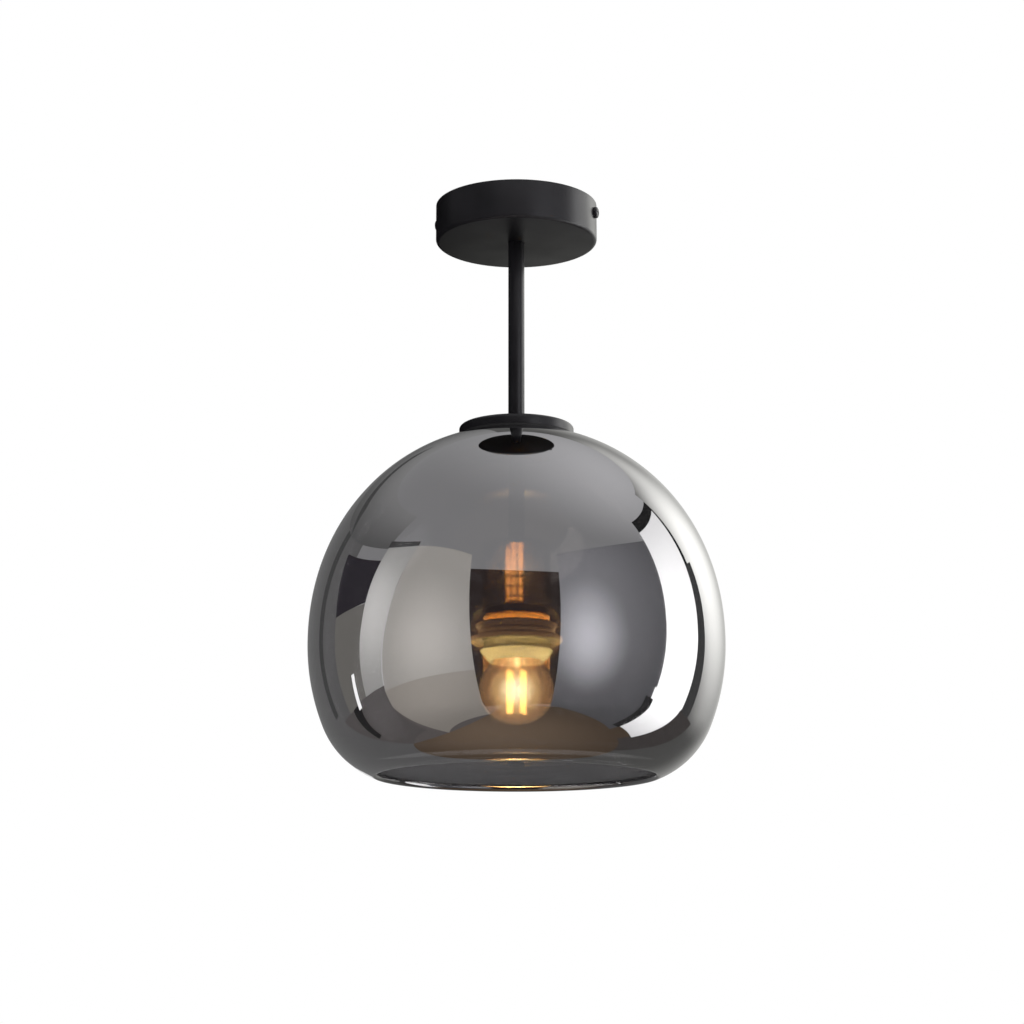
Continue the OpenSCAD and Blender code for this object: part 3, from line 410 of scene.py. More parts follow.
metal, polymer = {"Metallic": 1.0}, {"IOR": 1.5}
zinc = patchy_finish("zinc_plated_steel", "#b9bdc4", "#cfc9b4", 14, 0.34, 0.8, 0.010, metal)
nickel = patchy_finish("nickel_plated_brass", "#c4bfb2", "#d6d2c8", 6, 0.24, 0.8, 0.008, metal)
bronze = patchy_finish("phosphor_bronze", "#b97a4c", "#cf9160", 5, 0.28, 0.8, 0.008, metal)
nylon = patchy_finish("natural_nylon", "#dedbd0", "#eae8e0", 6, 0.42, 0.5, 0.010, polymer)
rubber = patchy_finish("black_rubber", "#151515", "#222122", 4, 0.70, 0.5, 0.030, polymer)
board = patchy_finish("glass_epoxy_board", "#1d4a2a", "#28603a", 3, 0.40, 0.5, 0.010, polymer)
pvc_brown = patchy_finish("brown_pvc", "#5a3826", "#6b442f", 7, 0.36, 0.5, 0.006, polymer)
pvc_blue = patchy_finish("blue_pvc", "#2a57a6", "#3566b8", 7, 0.36, 0.5, 0.006, polymer)

# %% [markdown]
# The earth wire has the green and yellow stripes that mark it in every lamp. They run along the wire, here
# as bands 1.6 mm wide.

# %% Finish: striped insulation
pvc_striped, tree, shader, where = new_finish("green_and_yellow_pvc", {"Roughness": 0.36, "IOR": 1.5})
bands = add(tree, "TexWave", {"wave_type": "BANDS", "bands_direction": "DIAGONAL",
                              "Scale": PER_MM / 1.6 / math.tau, "Distortion": 0.6}, Vector=where)
edge = add(tree, "MapRange", {"From Min": 0.45, "From Max": 0.55}, Value=bands.outputs["Fac"])
tone = add(tree, "Mix", {"data_type": "RGBA", 6: colour("#3f8a2e"), 7: colour("#e3c526")}, in0=edge)
grit = add(tree, "TexNoise", {"Scale": PER_MM / 0.5, "Detail": 2}, Vector=where)
marks = add(tree, "Bump", {"Strength": 0.6, "Distance": 0.006 * MM}, Height=grit)
tree.links.new(tone.outputs[2], shader.inputs["Base Color"])
wire_up(tree, shader, Normal=marks)
print(pvc_striped.name, len(tree.nodes), "nodes")

# %% [markdown]
# ## Finishes for the frame's own parts
# Parts that are right as the frame has them only get their finish: the hardware in the canopy, the nuts and
# washers, and what lies inside the lampholder.

# %% Dress the frame's parts
own_finish = {
    "mounting_bracket": zinc, "terminal_block": nylon, "terminal_barrels": brass, "terminal_screws": zinc,
    "block_screws": zinc, "earth_screw": brass, "earth_ring": zinc, "canopy_bush": zinc,
    "stem_washer": zinc, "stem_locknut": zinc, "cap_bush": zinc, "cap_gasket": rubber,
    "plate_gasket": rubber, "retaining_plate": black_coat, "plate_nut": brass, "holder_washer": zinc,
    "holder_locknut": zinc, "screw_shell": brass, "centre_contact": bronze, "socket_terminals": brass,
    "socket_screws": zinc, "bulb_cap": nickel, "bulb_insulator": phenolic, "bulb_contact": nickel,
    "bulb_stem": bulb_glass, "filament_leads": nickel, "driver_board": board, "live_wire": pvc_brown,
    "neutral_wire": pvc_blue, "earth_wire": pvc_striped, "canopy_screw_right": black_coat,
    "canopy_screw_left": black_coat,
}
for part, finish in own_finish.items():
    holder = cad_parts[part]
    if not holder.material_slots:
        holder.data.materials.append(finish)
    for place in holder.material_slots:
        place.material = finish
print(len(own_finish), "parts dressed")

# %% [markdown]
# ## The canopy
# The canopy is a steel cup that was spun over a form, which leaves a soft edge at its floor. It has a hole
# for the stem and one at each side for a screw. The cup is turned, and the side holes are cut from it.

# %% Model the canopy
canopy_r, canopy_floor = reach("canopy"), foot("canopy")
sheet, side_hole_r, side_hole_z = 1.2, 2.3, -8.2
canopy = lathe("canopy_shell", soften([
    (5.2, canopy_floor, 0), (canopy_r, canopy_floor, 2.2), (canopy_r, 0, 0.25),
    (canopy_r - sheet, 0, 0.25), (canopy_r - sheet, canopy_floor + sheet, 1.0), (5.2, canopy_floor + sheet, 0),
], 8), 160)
bpy.ops.mesh.primitive_cylinder_add(vertices=32, radius=side_hole_r * MM, depth=110 * MM,
                                    location=(0, 0, side_hole_z * MM), rotation=(0, math.pi / 2, 0))
cut(canopy, bpy.context.object)
settle(canopy, "canopy", black_coat)

# %% [markdown]
# ## The stem
# The stem is a length of 10 mm lamp tube. It is threaded where a nut sits on it, with a pitch of 1 mm:
# inside the canopy, at the shade, and in the lampholder. The outline draws the threads as fine rings.

# %% Model the stem
def thread_down(radius, high, low, pitch=1.0, depth=0.3):
    """The outline of a thread from high to low."""
    count = int(round((high - low) / pitch))
    rows = []
    for k in range(count):
        z = high - k * pitch
        rows += [(radius - depth, z), (radius, z - pitch * 0.38), (radius, z - pitch * 0.62)]
    return rows + [(radius - depth, high - count * pitch)]


stem_r, stem_top, stem_end = reach("stem_tube"), top("stem_tube"), foot("stem_tube")
cap_top = top("shade_cap")
stem = lathe("stem_rod", [(3.75, stem_top), (stem_r - 0.5, stem_top)]
             + thread_down(stem_r, stem_top - 0.3, canopy_floor + 1.4)
             + [(stem_r, canopy_floor + 0.9), (stem_r, cap_top - 0.4)]
             + thread_down(stem_r, cap_top - 1.0, foot("plate_nut") - 3)
             + [(stem_r, foot("plate_nut") - 3.6), (stem_r, top("holder_cup") + 1.0)]
             + thread_down(stem_r, top("holder_cup") + 0.6, stem_end + 0.4)
             + [(stem_r - 0.5, stem_end), (3.75, stem_end)], 64)
settle(stem, "stem_tube", black_coat)

# %% [markdown]
# ## The shade's cap
# A shallow spun cup that covers the hole in the glass. Its edge is rolled round and its rim stands on a
# gasket.

# %% Model the shade's cap
cap_r, cap_rim = reach("shade_cap"), foot("shade_cap")
cap = lathe("shade_cap_shell", soften([
    (5.2, cap_top, 0.2), (cap_r, cap_top, 2.0), (cap_r, cap_rim, 0.3),
    (cap_r - sheet, cap_rim, 0.3), (cap_r - sheet, cap_top - sheet, 0.8), (5.2, cap_top - sheet, 0.2),
][::-1], 8), 160)
settle(cap, "shade_cap", black_coat)

# %% [markdown]
# ## The glass shade
# The glassblower's form is a full dome, a side wall that turns in slowly, and a tight corner that curls the
# wall in towards the mouth, where a flame has melted the edge into a thicker bead. The dome follows a curve
# a little fuller than an ellipse. Inside, the wall lies 3 mm behind. A mirror shows every facet, so
# the outline gets many points and the lathe many steps.

# %% Draw the outline of the glass
shade_r, dome_rise, fullness, wall, hole_r = 125.0, 132.0, 2.08, 3.0, 21.0
side_r, side_turn, corner_r, corner_turn, bead_d = 133.0, 22.0, 53.0, 46.6, 4.6


def dome_point(t):
    """Place and outward direction on the dome: t is 0 at the widest line and 90 at the apex."""
    c, s = math.cos(math.radians(t)), math.sin(math.radians(t))
    r, h = shade_r * c ** (2 / fullness), dome_rise * s ** (2 / fullness)
    out = Vector((r ** (fullness - 1) / shade_r ** fullness, h ** (fullness - 1) / dome_rise ** fullness))
    return Vector((r, h)), out.normalized(), wall


def arc_point(centre, radius, t, thick):
    """The same on an arc: t is 90 at the widest line and grows downwards."""
    out = Vector((math.sin(math.radians(t)), math.cos(math.radians(t))))
    return centre + radius * out, out, thick


hole_turn = math.degrees(math.acos((hole_r / shade_r) ** (fullness / 2)))
side_end, corner_end = 90 + side_turn, 90 + side_turn + corner_turn
side_centre = Vector((shade_r - side_r, 0))
corner_centre = side_centre + (side_r - corner_r) * arc_point(Vector((0, 0)), 1, side_end, 0)[1]
bead_centre = corner_centre + (corner_r - bead_d / 2) * arc_point(Vector((0, 0)), 1, corner_end, 0)[1]
skin = [dome_point(hole_turn * (1 - i / 70)) for i in range(71)]
skin += [arc_point(side_centre, side_r, 90 + side_turn * i / 20, wall) for i in range(1, 21)]
skin += [arc_point(corner_centre, corner_r, side_end + corner_turn * i / 30, wall + (bead_d - wall) * (i / 30) ** 3)
         for i in range(1, 31)]
bead = [arc_point(bead_centre, bead_d / 2, corner_end + 180 * i / 14, 0)[0] for i in range(1, 14)]
glass_outline = [p for p, out, thick in skin] + bead + [p - thick * out for p, out, thick in reversed(skin)]
lift = foot("glass_shade") - min(p.y for p in glass_outline)
glass_outline = [(p.x, p.y + lift) for p in glass_outline]
print("glass outline:", len(glass_outline), "points, widest at z %.1f" % lift)

# %% [markdown]
# Spun round, the outline is a closed wall of glass. The faces that look back at the middle are the inner skin,
# and they get the thinner film.

# %% Blow the shade
shade = lathe("glass_shade_blown", glass_outline, 224, smooth=50)
settle(shade, "glass_shade", film_glass)
shade.data.materials.append(inner_glass)
middle = Vector((0, 0, lift * MM))
for face in shade.data.polygons:
    face.material_index = 1 if face.normal.dot(face.center - middle) < 0 else 0
print("faces of the inner skin:", sum(f.material_index for f in shade.data.polygons))

# %% [markdown]
# ## The lampholder
# A steel cup covers the wiring, with three grooves rolled into its lower half. Below it come the neck of the
# phenolic body, a brass collar, and two shade rings that screw onto the body, the lower one wider. Each is
# turned with its own soft edges.

# %% Model the cup
cup_r, cup_top, cup_rim = reach("holder_cup"), top("holder_cup"), foot("holder_cup")
grooves = []
groove_rise, groove_pitch = 4.5, 6.0
for z in (cup_rim + groove_rise + groove_pitch * i for i in range(3)):
    grooves += [(cup_r, z - 0.6, 0.3), (cup_r - 0.4, z - 0.2, 0.1), (cup_r - 0.4, z + 0.2, 0.1),
                (cup_r, z + 0.6, 0.3)]
cup = lathe("lampholder_cup", soften([
    (5.2, cup_top, 0.2), (5.2, cup_top - 1, 0.2), (cup_r - 1, cup_top - 1, 3.0), (cup_r - 1, cup_rim, 0.3),
    (cup_r, cup_rim, 0.3)] + grooves + [(cup_r, cup_top, 4.0)], 8), 128)
settle(cup, "holder_cup", black_nickel)

# %% [markdown]
# The body is one moulding: a wide top inside the cup, the neck that shows, and a spigot for collar and rings.

# %% Model the body
neck_foot, bore_r, spigot_r = top("brass_collar"), 15.2, 17.0
body_foot = foot("holder_body")
body = lathe("lampholder_body", soften([
    (bore_r, top("holder_body"), 0.3), (bore_r, body_foot, 0.3), (spigot_r, body_foot, 0.3),
    (spigot_r, neck_foot, 0), (18.5, neck_foot, 0.5), (18.5, cup_rim, 0), (cup_r - 1.05, cup_rim, 0.3),
    (cup_r - 1.05, top("holder_body"), 0.5)], 4), 128)
settle(body, "holder_body", phenolic)

# %% [markdown]
# Collar and rings are sleeves on the spigot. The upper ring has a flange and a shallow groove, and the lower
# one has a thin lip round its foot.

# %% Model the collar and the rings
collar_r, collar_foot = reach("brass_collar"), foot("brass_collar")
collar = lathe("brass_collar_turned", soften([
    (spigot_r + 0.05, neck_foot, 0.2), (spigot_r + 0.05, collar_foot, 0.2), (collar_r, collar_foot, 0.9),
    (collar_r, neck_foot, 0.9)], 6), 128)
settle(collar, "brass_collar", brass)

upper_r, upper_foot = reach("upper_shade_ring"), foot("upper_shade_ring")
upper = lathe("shade_ring_upper", soften([
    (spigot_r + 0.05, collar_foot, 0.2), (spigot_r + 0.05, upper_foot, 0.2), (upper_r - 1.2, upper_foot, 0.3),
    (upper_r - 1.2, collar_foot - 4.9, 0.2), (upper_r - 1.9, collar_foot - 4.2, 0.3),
    (upper_r - 1.2, collar_foot - 3.5, 0.2), (upper_r - 1.2, collar_foot - 2.2, 0.2),
    (upper_r, collar_foot - 2.2, 0.5), (upper_r, collar_foot, 0.8)], 4), 128)
settle(upper, "upper_shade_ring", phenolic)

lower_r, lower_foot = reach("lower_shade_ring"), foot("lower_shade_ring")
lower = lathe("shade_ring_lower", soften([
    (spigot_r + 0.05, upper_foot, 0.2), (spigot_r + 0.05, body_foot, 0.2), (lower_r - 1.6, body_foot, 0.3),
    (lower_r - 1.6, lower_foot, 0.35), (lower_r, lower_foot, 0.5), (lower_r, upper_foot, 1.2)], 5), 128)
settle(lower, "lower_shade_ring", phenolic)

# %% [markdown]
# ## The porcelain insert
# Porcelain holds the screw shell and shows as a cream nose round the bulb's neck. It is pressed in a die, so
# its edges are round, and it narrows until it leaves the glass only a little room. The globe's own measures
# come first, because its neck is a round hollow and the mouth of the porcelain follows it.

# %% Measure the globe
globe_r, globe_foot = reach("bulb_globe"), foot("bulb_globe")
globe_z, neck_r, hollow_r = globe_foot + globe_r, 12.4, 12.0
hollow_x = neck_r + hollow_r
hollow_h = math.sqrt((globe_r + hollow_r) ** 2 - hollow_x ** 2)
hollow_turn = math.degrees(math.atan2(hollow_h, hollow_x))


def neck_at(z):
    """Radius of the globe's neck at a height in its hollow."""
    return hollow_x - math.sqrt(hollow_r ** 2 - (globe_z + hollow_h - z) ** 2)


print("globe's middle at %.1f, hollow %.1f above it" % (globe_z, hollow_h))

# %% [markdown]
# The outline of the insert runs from its closed roof down the bore and back up the outside. A hole in the roof
# takes the rivet of a terminal, and is cut afterwards.

# %% Model the insert
insert_top, nose_tip = top("socket_insert"), foot("socket_insert")
nose_r, roof = reach("socket_insert"), top("socket_insert") - 5
rim_z, flare, mouth_r = (body_foot + nose_tip) / 2, foot("bulb_cap") - 0.4, neck_at(nose_tip) + 0.6
insert = lathe("porcelain_insert", [(0, roof)] + soften([
    (13.95, roof, 0.4), (13.95, flare, 1.0), (mouth_r, nose_tip, 0.6), (mouth_r + 1.5, nose_tip, 0.7),
    (nose_r, rim_z - 0.2, 0.6), (nose_r, rim_z + 0.6, 0.4), (nose_r - 2, rim_z + 1.6, 0.3),
    (nose_r - 2, body_foot, 0.3), (15.1, body_foot, 0.2), (15.1, insert_top, 0.5)], 4)
    + [(0, insert_top)], 128)
rivet_hole_r, rivet_x = 1.15, 8
bpy.ops.mesh.primitive_cylinder_add(vertices=32, radius=rivet_hole_r * MM, depth=8 * MM,
                                    location=(rivet_x * MM, 0, (roof + 2.5) * MM))
cut(insert, bpy.context.object)
settle(insert, "socket_insert", porcelain)

# %% [markdown]
# ## The bulb
# The globe is blown from a tube: a short neck flows into the ball through a round hollow. It is thin, so the
# outline runs down the outside and back up the inside. The filaments stand round the glass stem.

# %% Blow the globe
def globe_line(inset):
    """One side of the globe's wall, from its neck down to its foot."""
    return ([(neck_r - inset, top("bulb_globe")), (neck_r - inset, globe_z + hollow_h + 0.4)]
            + arc((hollow_x, globe_z + hollow_h), hollow_r + inset, 180, 180 + hollow_turn, 12)
            + arc((0, globe_z), globe_r - inset, hollow_turn, -90, 44)[1:])


globe = lathe("bulb_globe_blown", globe_line(0) + globe_line(0.8)[::-1], 128, smooth=50)
settle(globe, "bulb_globe", bulb_glass, body="bulb")

# %% [markdown]
# A filament is a thin strip under a bead of phosphor, so it is a slim rod with rounded ends. One is modelled
# and moved off the axis, and copies of it are turned round the stem.

# %% Model one filament and copy it round
fil_top, fil_foot = top("led_filaments"), foot("led_filaments")
count, ring_r = 4, 5.8
bpy.ops.object.select_all(action="DESELECT")
bpy.ops.mesh.primitive_cylinder_add(vertices=20, radius=0.9 * MM, depth=(fil_top - fil_foot) * MM,
                                    location=(0, 0, (fil_top + fil_foot) / 2 * MM))
filament = bpy.context.object
filament.name = filament.data.name = "led_filament_strips"
bpy.ops.object.mode_set(mode="EDIT")
bpy.ops.mesh.select_all(action="DESELECT")
outline_mesh = bmesh.from_edit_mesh(filament.data)
for face in outline_mesh.faces:
    face.select = abs(face.normal.z) > 0.9
outline_mesh.select_flush_mode()
bpy.ops.mesh.bevel(offset=0.45 * MM, segments=3, affect="EDGES")
bpy.ops.mesh.select_all(action="SELECT")
bpy.ops.transform.translate(value=(ring_r * math.cos(math.pi / 4) * MM, ring_r * math.sin(math.pi / 4) * MM, 0))
for quarter in range(1, count):
    pick(filament, lambda p: p.x > 0 and p.y > 0)
    bpy.ops.mesh.duplicate()
    turn = Matrix.Rotation(quarter * math.tau / count, 4, "Z")
    copied = bmesh.from_edit_mesh(filament.data)
    bmesh.ops.transform(copied, matrix=turn, verts=[v for v in copied.verts if v.select])
    bmesh.update_edit_mesh(filament.data)
bpy.ops.object.mode_set(mode="OBJECT")
bpy.ops.object.transform_apply(location=True, rotation=True, scale=True)
bpy.ops.object.shade_smooth_by_angle(angle=math.radians(50))
settle(filament, "led_filaments", glowing, body="bulb")

# %% [markdown]
# ## The studio
# A mirror shows the room, so the room is part of the picture. Round the light stand two large softboxes with
# a dark gap between them for the camera, a bright strip light at the right, and grey walls and dark cloths
# elsewhere. They are curved sheets about 1.5 m from the light, and only reflections and glass see them. Angles
# count from the camera, to its right. Behind the light the background is white paper, so the sheets there,
# whose names say back, are for reflections alone. The other ones also show through the glass, in the inside of
# the far wall. The glass swallows most of that light, so Light Path tells such rays apart and the sheets are
# stronger for them. That is a trick of the studio and not of the glass. The sheets at the left are linked to
# the shade, because the black coat would mirror them as well.

# %% Sheets that only mirrors see
camera_turn = math.degrees(math.atan2(camera.location.y, camera.location.x))
for_the_glass = bpy.data.collections.new("glass_in_front_of_the_softboxes")
for_the_glass.objects.link(shade)
extra_through_glass = 7.0


def hang(sheet, name, code, strength, boost):
    """Names a sheet, lets it glow and keeps it out of the camera's sight. The boost is for rays through glass."""
    sheet.name = sheet.data.name = name
    finish = bpy.data.materials.new(name + "_light")
    finish.use_nodes = True
    tree = finish.node_tree
    tree.nodes.clear()
    through = add(tree, "LightPath").outputs["Is Transmission Ray"]
    stronger = add(tree, "Math", {"operation": "MULTIPLY_ADD", 1: boost, 2: 1.0}, in0=through)
    level = add(tree, "Math", {"operation": "MULTIPLY", 0: strength}, in1=stronger)
    light = add(tree, "Emission", {"Color": colour(code)}, Strength=level)
    add(tree, "OutputMaterial", Surface=light)
    sheet.data.materials.append(finish)
    sheet.visible_camera = sheet.visible_diffuse = sheet.visible_shadow = False
    sheet.visible_transmission = "back" not in name
    if name.startswith("left"):
        sheet.light_linking.receiver_collection = for_the_glass
    return tree, level


def panel(name, corners, code, strength, radius=1500.0, arch=0.0):
    """A curved sheet. Its corners are angles, heights and radii: top left, top right, foot right, foot left."""
    bpy.ops.object.select_all(action="DESELECT")
    bpy.ops.mesh.primitive_grid_add(x_subdivisions=24, y_subdivisions=8, size=1)
    sheet = bpy.context.object
    top_left, top_right, foot_right, foot_left = (Vector((*corner, radius)[:3]) for corner in corners)
    for vert in sheet.data.vertices:
        u, v = vert.co.x + 0.5, vert.co.y + 0.5
        turn, height, reach_out = top_left.lerp(top_right, u) * v + foot_left.lerp(foot_right, u) * (1 - v)
        spoke = Vector((reach_out, 0, height + arch * 4 * u * (1 - u) * v)) * MM
        spoke.rotate(Matrix.Rotation(math.radians(camera_turn + turn), 3, "Z"))
        vert.co = spoke
    return hang(sheet, name, code, strength, extra_through_glass)


for name, corners, code, strength, radius in (
        ("camera_gap_cloth", ((-32, 670), (32, 585), (32, -1720), (-32, -1960)), "#ffe0d8", 0.05, 1900),
        ("left_box_frame", ((-83, 800), (-61, 880), (-61, 800), (-83, 700)), "#ffffff", 0.1, 1495),
        ("left_dark_cloth", ((-117.5, 480), (-82, 530), (-85, 105), (-112, 10)), "#f4e8ff", 0.05, 1505),
        ("left_grey_wall", ((-112, 20), (-85, 100), (-90, -740), (-113, -740)), "#fffbf2", 0.28, 1510),
        ("left_glint", ((-100.5, -480), (-98, -480), (-101, -790), (-104, -790)), "#ffffff", 2.4, 1490),
        ("left_low_cloth", ((-124, -740), (-78, -740), (-82, -2380), (-118, -2380)), "#fff6f4", 0.17, 1510),
        ("left_low_crease", ((-109, -740), (-101, -740), (-113, -1500), (-119, -1500)), "#ffffff", 0.03, 1500),
        ("left_wall_of_the_back", ((-185, 720), (-107, 720), (-107, -2380), (-185, -2380)), "#ffffff", 0.2, 1530),
        ("left_stripe_of_the_back", ((-134, 640), (-127, 600), (-126, -600), (-131, -600)), "#ffffff", 0.1, 1525),
        ("left_arc_of_the_back", ((-163, 1010), (-134, 800), (-127, 600), (-160, 850)), "#ffffff", 0.1, 1515),
        ("left_glow_of_the_back", ((-185, 280), (-168, 280), (-168, -450), (-185, -450)), "#ffffff", 0.9, 1525),
        ("right_top_cloth", ((86, 1140), (115.8, 1215), (115.8, 1060), (86, 930)), "#ffffff", 0.03, 1500),
        ("right_thin_edge", ((114.2, 1060), (115.8, 1060), (115.8, 400), (112.8, 400)), "#ffffff", 0.03, 1500),
        ("right_dark_edge", ((112.8, 400), (119.5, 400), (120, -720), (110.6, -720)), "#ffffff", 0.09, 1500),
        ("right_box_shadow", ((79, -850), (85, -850), (84, -1960), (77, -1960)), "#ffffff", 0.04, 1497),
        ("right_low_cloth", ((108, -720), (128, -720), (134, -2380), (105, -2380)), "#fff4f0", 0.1, 1505)):
    panel(name, corners, code, strength, radius)
print("panels face the camera's turn of %.1f degrees" % camera_turn)

# %% [markdown]
# The softboxes have their lamps close behind the cloth, so each is brightest at one spot and falls off to its
# edges, and so do the wall behind the light at the right, the ceiling and the cloth below. The strength adds
# up from such spots: each has a place, a reach in metres and a strength, and its last numbers draw it out along
# an axis where they are less than 1.

# %% Softboxes and walls with hot spots
def hot_spots(sheet_light, dim, *spots):
    """Gives a sheet one dim level and adds its spots of (place, reach, strength, squash) to it."""
    tree, level = sheet_light
    where = add(tree, "TexCoord").outputs["Object"]
    total = add(tree, "Value")
    total.outputs[0].default_value = dim
    for place, reach_m, extra, squash in spots:
        squashed = add(tree, "VectorMath", {"operation": "MULTIPLY", 1: squash}, in0=where)
        offset = add(tree, "VectorMath", {"operation": "DISTANCE", 1: place * Vector(squash)}, in0=squashed)
        glow = add(tree, "MapRange", {"interpolation_type": "SMOOTHSTEP", "From Min": 0.0, "From Max": reach_m,
                                      "To Min": extra, "To Max": 0.0}, Value=offset.outputs["Value"])
        total = add(tree, "Math", {"operation": "ADD"}, in0=total, in1=glow)
    tree.links.new(total.outputs[0], level.inputs[0])


def round_spot(turn, height, radius=1.5):
    """A place on a curved sheet, in metres."""
    turn = math.radians(camera_turn + turn)
    return Vector((radius * math.cos(turn), radius * math.sin(turn), height))


ROUND, UPRIGHT, TALL = (1, 1, 1), (0, 0, 1), (1, 1, 0.62)
hot_spots(panel("left_softbox", ((-61, 800), (-25.5, 680), (-22.5, -800), (-79, -800)), "#fffaf2", 1, 1500, 60),
          0.68, (round_spot(-48, -0.35), 0.9, 0.42, ROUND))
hot_spots(panel("left_softbox_foot", ((-79, -800), (-22.5, -800), (-19, -2380, 1750), (-74, -2380, 1060)),
                "#fff6ea", 1), 0.45, (round_spot(-48, -0.7), 1.5, 0.26, ROUND))
hot_spots(panel("left_bright_strip", ((-82.5, 700), (-61, 800), (-79, -740), (-94, -740)), "#fffefa", 1, 1499),
          0.62, (round_spot(-80, 0), 0.8, 0.55, ROUND))
hot_spots(panel("right_softbox", ((23, 700), (85.5, 800), (83, -2250), (21.5, -1480)), "#f8f8ff", 1, 1505, 60),
          0.15, (round_spot(30, 0.2), 2.1, 0.3, ROUND), (round_spot(38, -0.37), 0.68, 0.85, (1, 1, 0.85)))
hot_spots(panel("right_strip_light", ((86, 930), (114.3, 1060), (110.6, -720), (84.3, -720)), "#ffffff", 1),
          1.6, (round_spot(97, -0.4), 1.7, 1.6, ROUND))
hot_spots(panel("right_strip_foot", ((83, -720), (109.5, -720), (108, -1980), (83, -1900)), "#ffffff", 1),
          1.6, (round_spot(97, -0.4), 1.7, 1.6, ROUND))
hot_spots(panel("right_wall_of_the_back", ((116, 1500), (185, 1500), (185, -2380), (112, -2380)), "#fffffb", 1,
                1510), 0.15, (round_spot(129, 0.42), 0.85, 2.45, TALL), (round_spot(160, 0.2), 0.8, 0.6, TALL),
          (round_spot(150, 1.3), 0.6, 0.7, ROUND))
hot_spots(panel("left_top_of_the_back", ((-185, 1500), (-75, 1500), (-82.5, 700), (-185, 450)), "#ffffff", 1, 1520),
          0.14, (Vector((0, 0, 1.5)), 1.1, 0.28, UPRIGHT))
print("softboxes and walls hung")

# %% [markdown]
# Above hangs a grey ceiling, lightest at the right and a little behind. Below lie a dark floor and, turned a
# little, a square of brown cloth. Both lie just above the paper floor, and only mirrors and glass see them.

# %% Ceiling and cloth for the reflections
toward = -ahead


def flat_sheet(name, place, radius, code, vertices=64, turn=0.0):
    """A level sheet: a disc, or a square if it has four vertices."""
    bpy.ops.object.select_all(action="DESELECT")
    bpy.ops.mesh.primitive_circle_add(vertices=vertices, radius=radius, fill_type="NGON", location=place,
                                      rotation=(0, 0, turn))
    bpy.ops.object.transform_apply(location=True, rotation=True, scale=True)
    return hang(bpy.context.object, name, code, 1, 0.0)


ceiling_height, cloth_height = Vector((0, 0, 1.4)), Vector((0, 0, -2.385))
hot_spots(flat_sheet("grey_ceiling", ceiling_height, 5, "#fdfdff"), 0.45,
          (right * 0.9 + ahead * 0.4 + ceiling_height, 1.9, 0.5, ROUND))
hot_spots(flat_sheet("dark_floor", (0, 0, -2.39), 5, "#fff4f0"), 0.2)
edge_on = (toward * 0.31 - right * 0.95).normalized()
hot_spots(flat_sheet("brown_cloth", edge_on * -1.33 + cloth_height, 3.39, "#ffdcba", 4,
                     math.atan2(edge_on.y, edge_on.x) - math.pi / 4), 0.14,
          (toward * 0.6 - right * 0.3 + cloth_height, 2.2, 0.16, ROUND))
print("ceiling and cloth hung")

# %% [markdown]
# ## Floor, lamps and world
# The floor is a pale sheet of paper, 2.4 m below the ceiling that the light hangs from. A plane is enough,
# because the light throws only a soft shadow on it.

# %% The floor
bpy.ops.object.select_all(action="DESELECT")
bpy.ops.mesh.primitive_plane_add(size=6, location=(0, 0, -2.4))
floor = bpy.context.object
floor.name = floor.data.name = "paper_floor"
bpy.ops.object.transform_apply(location=True, rotation=True, scale=True)
paper, tree, shader, where = new_finish("pale_paper", {"Roughness": 0.9})
fibres = add(tree, "TexNoise", {"Scale": PER_MM / 3, "Detail": 4}, Vector=where)
tone = add(tree, "Mix", {"data_type": "RGBA", 6: colour("#ebeae7"), 7: colour("#f1f0ee")}, in0=fibres)
tree.links.new(tone.outputs[2], shader.inputs["Base Color"])
floor.data.materials.append(paper)

# %% [markdown]
# Three large soft lamps light the outside, from the right, the left and below. They are left out of the
# reflections, which show the sheets instead.

# %% The lamps
def soft_lamp(name, place, aim, size, watts, code):
    """A round area lamp that looks at a point and isn't seen itself."""
    bpy.ops.object.light_add(type="AREA", location=place)
    lamp = bpy.context.object
    lamp.name = name
    lamp.data.shape, lamp.data.size, lamp.data.energy = "DISK", size, watts
    lamp.data.color = colour(code)[:3]
    lamp.rotation_euler = (Vector(aim) - Vector(place)).to_track_quat("-Z", "Y").to_euler()
    lamp.visible_camera = lamp.visible_transmission = False
    return lamp


for name, place, size, watts in (("soft_lamp_right", (1.5, -1.1, 0.5), 0.9, 30),
                                 ("soft_lamp_left", (-1.4, -1.3, -0.2), 1.1, 14),
                                 ("soft_lamp_below", (0.2, -0.5, -1.9), 1.0, 46)):
    soft_lamp(name, place, (0, 0, -0.15), size, watts, "#ffffff").visible_glossy = False
print("soft lamps stand round the light")

# %% [markdown]
# Inside the shade, the filaments light the porcelain, and the mirror film throws their light back onto the
# rings and the cup of the lampholder. The renderer would need very many samples to find those bounces, so
# small warm lamps stand for them: one in the bulb, one below it that looks up, a ring of eight round the nose,
# a belt of twelve round the rings, and three upright ones in front of the cup, which shows them as streaks. All
# but the first are linked to the pieces that they light, so the film doesn't mirror them. Their strengths are
# set one by one. The bulb casts no shadow.

# %% Warm light inside the shade
filament_z = (fil_top + fil_foot) / 2
bpy.ops.object.light_add(type="POINT", location=(0, 0, filament_z * MM))
bulb_lamp = bpy.context.object
bulb_lamp.name = "light_of_the_filaments"
bulb_lamp.data.energy, bulb_lamp.data.shadow_soft_size = 12, 0.008
bulb_lamp.data.color = colour("#ffe08a")[:3]
bulb_lamp.visible_camera = bulb_lamp.visible_glossy = bulb_lamp.visible_transmission = False


def light_only(name, lamps, pieces):
    """Links lamps to the pieces that they may light."""
    lit = bpy.data.collections.new(name)
    for piece in pieces:
        lit.objects.link(piece)
    for lamp in lamps:
        lamp.light_linking.receiver_collection = lit


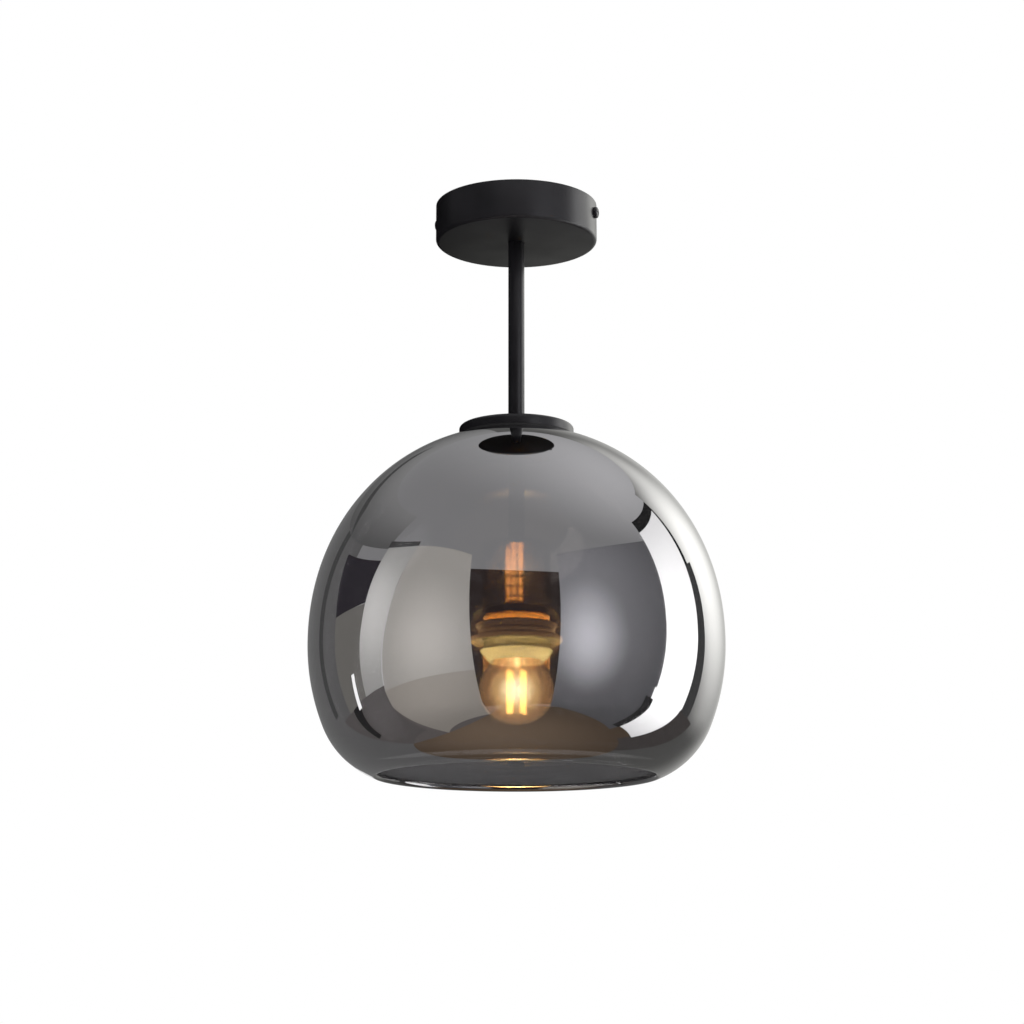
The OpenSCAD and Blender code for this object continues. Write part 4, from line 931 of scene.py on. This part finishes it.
def lamp_ring(name, count, first_turn, radius, height, aim, *lamp):
    """A row of lamps round the axis that look at one height on it. The rest are their size, watts and colour."""
    ring = []
    for step in range(count):
        turn = math.radians(360 / count * step + first_turn)
        place = (radius * math.cos(turn), radius * math.sin(turn), height)
        ring.append(soft_lamp("%s_%d" % (name, step + 1), place, (0, 0, aim), *lamp))
    return ring


from_below = [soft_lamp("light_back_from_below", (0, 0, -0.342), (0, 0, 0), 0.05, 20, "#ffe08a")]
light_only("lit_from_below", from_below, (upper, lower, insert))
round_the_nose = lamp_ring("light_on_the_nose", 8, 20, 0.06, -0.31, -0.28, 0.04, 0.24, "#ffe08a")
light_only("lit_round_the_nose", round_the_nose, (insert, lower))
belt = lamp_ring("light_back_from_the_wall", 12, 15, 0.09, -0.268, -0.268, 0.048, 0.16, "#ffc88a")
for lamp in belt:
    lamp.data.shape = "SQUARE"
light_only("lit_by_the_film", belt, (collar, upper, lower))
streaks, streak_z = [], -0.218
for side in (-1, 0, 1):
    place = toward * 0.09 + right * (0.03 * side - 0.012) + Vector((0, 0, streak_z))
    streaks.append(soft_lamp("streak_on_the_cup_%d" % (side + 2), place, (0, 0, streak_z), 0.022, 0.17, "#ffaa59"))
    streaks[-1].data.shape, streaks[-1].data.size_y = "RECTANGLE", 0.05
light_only("lit_as_a_mirror", streaks, (cup,))
for see_through in (globe, filament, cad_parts["bulb_stem"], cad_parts["filament_leads"]):
    see_through.visible_shadow = False

# %% [markdown]
# The background is plain white for the camera, for mirrors and for glass, and a softer light for everything
# else. The pictures use the Standard view, in which a colour comes out as it was written.

# %% The world
world = bpy.context.scene.world or bpy.data.worlds.new("studio")
bpy.context.scene.world = world
world.use_nodes = True
tree = world.node_tree
tree.nodes.clear()
ray = add(tree, "LightPath").outputs
seen = add(tree, "Math", {"operation": "MAXIMUM"}, in0=ray["Is Camera Ray"], in1=ray["Is Glossy Ray"])
seen = add(tree, "Math", {"operation": "MAXIMUM"}, in0=seen, in1=ray["Is Transmission Ray"])
soft = add(tree, "Background", {"Color": colour("#e8ecf0"), "Strength": 0.5})
white = add(tree, "Background", {"Color": (1, 1, 1, 1), "Strength": 1.0})
both = add(tree, "MixShader", in0=seen, in1=soft, in2=white)
add(tree, "OutputWorld", Surface=both)
bpy.context.scene.view_settings.view_transform = "Standard"
print("world nodes:", len(tree.nodes))

# %% [markdown]
# ## Finish
# Dressing the model doesn't change its size. The view layer is brought up to date at the end.


view_layer = bpy.context.view_layer
view_layer.update()
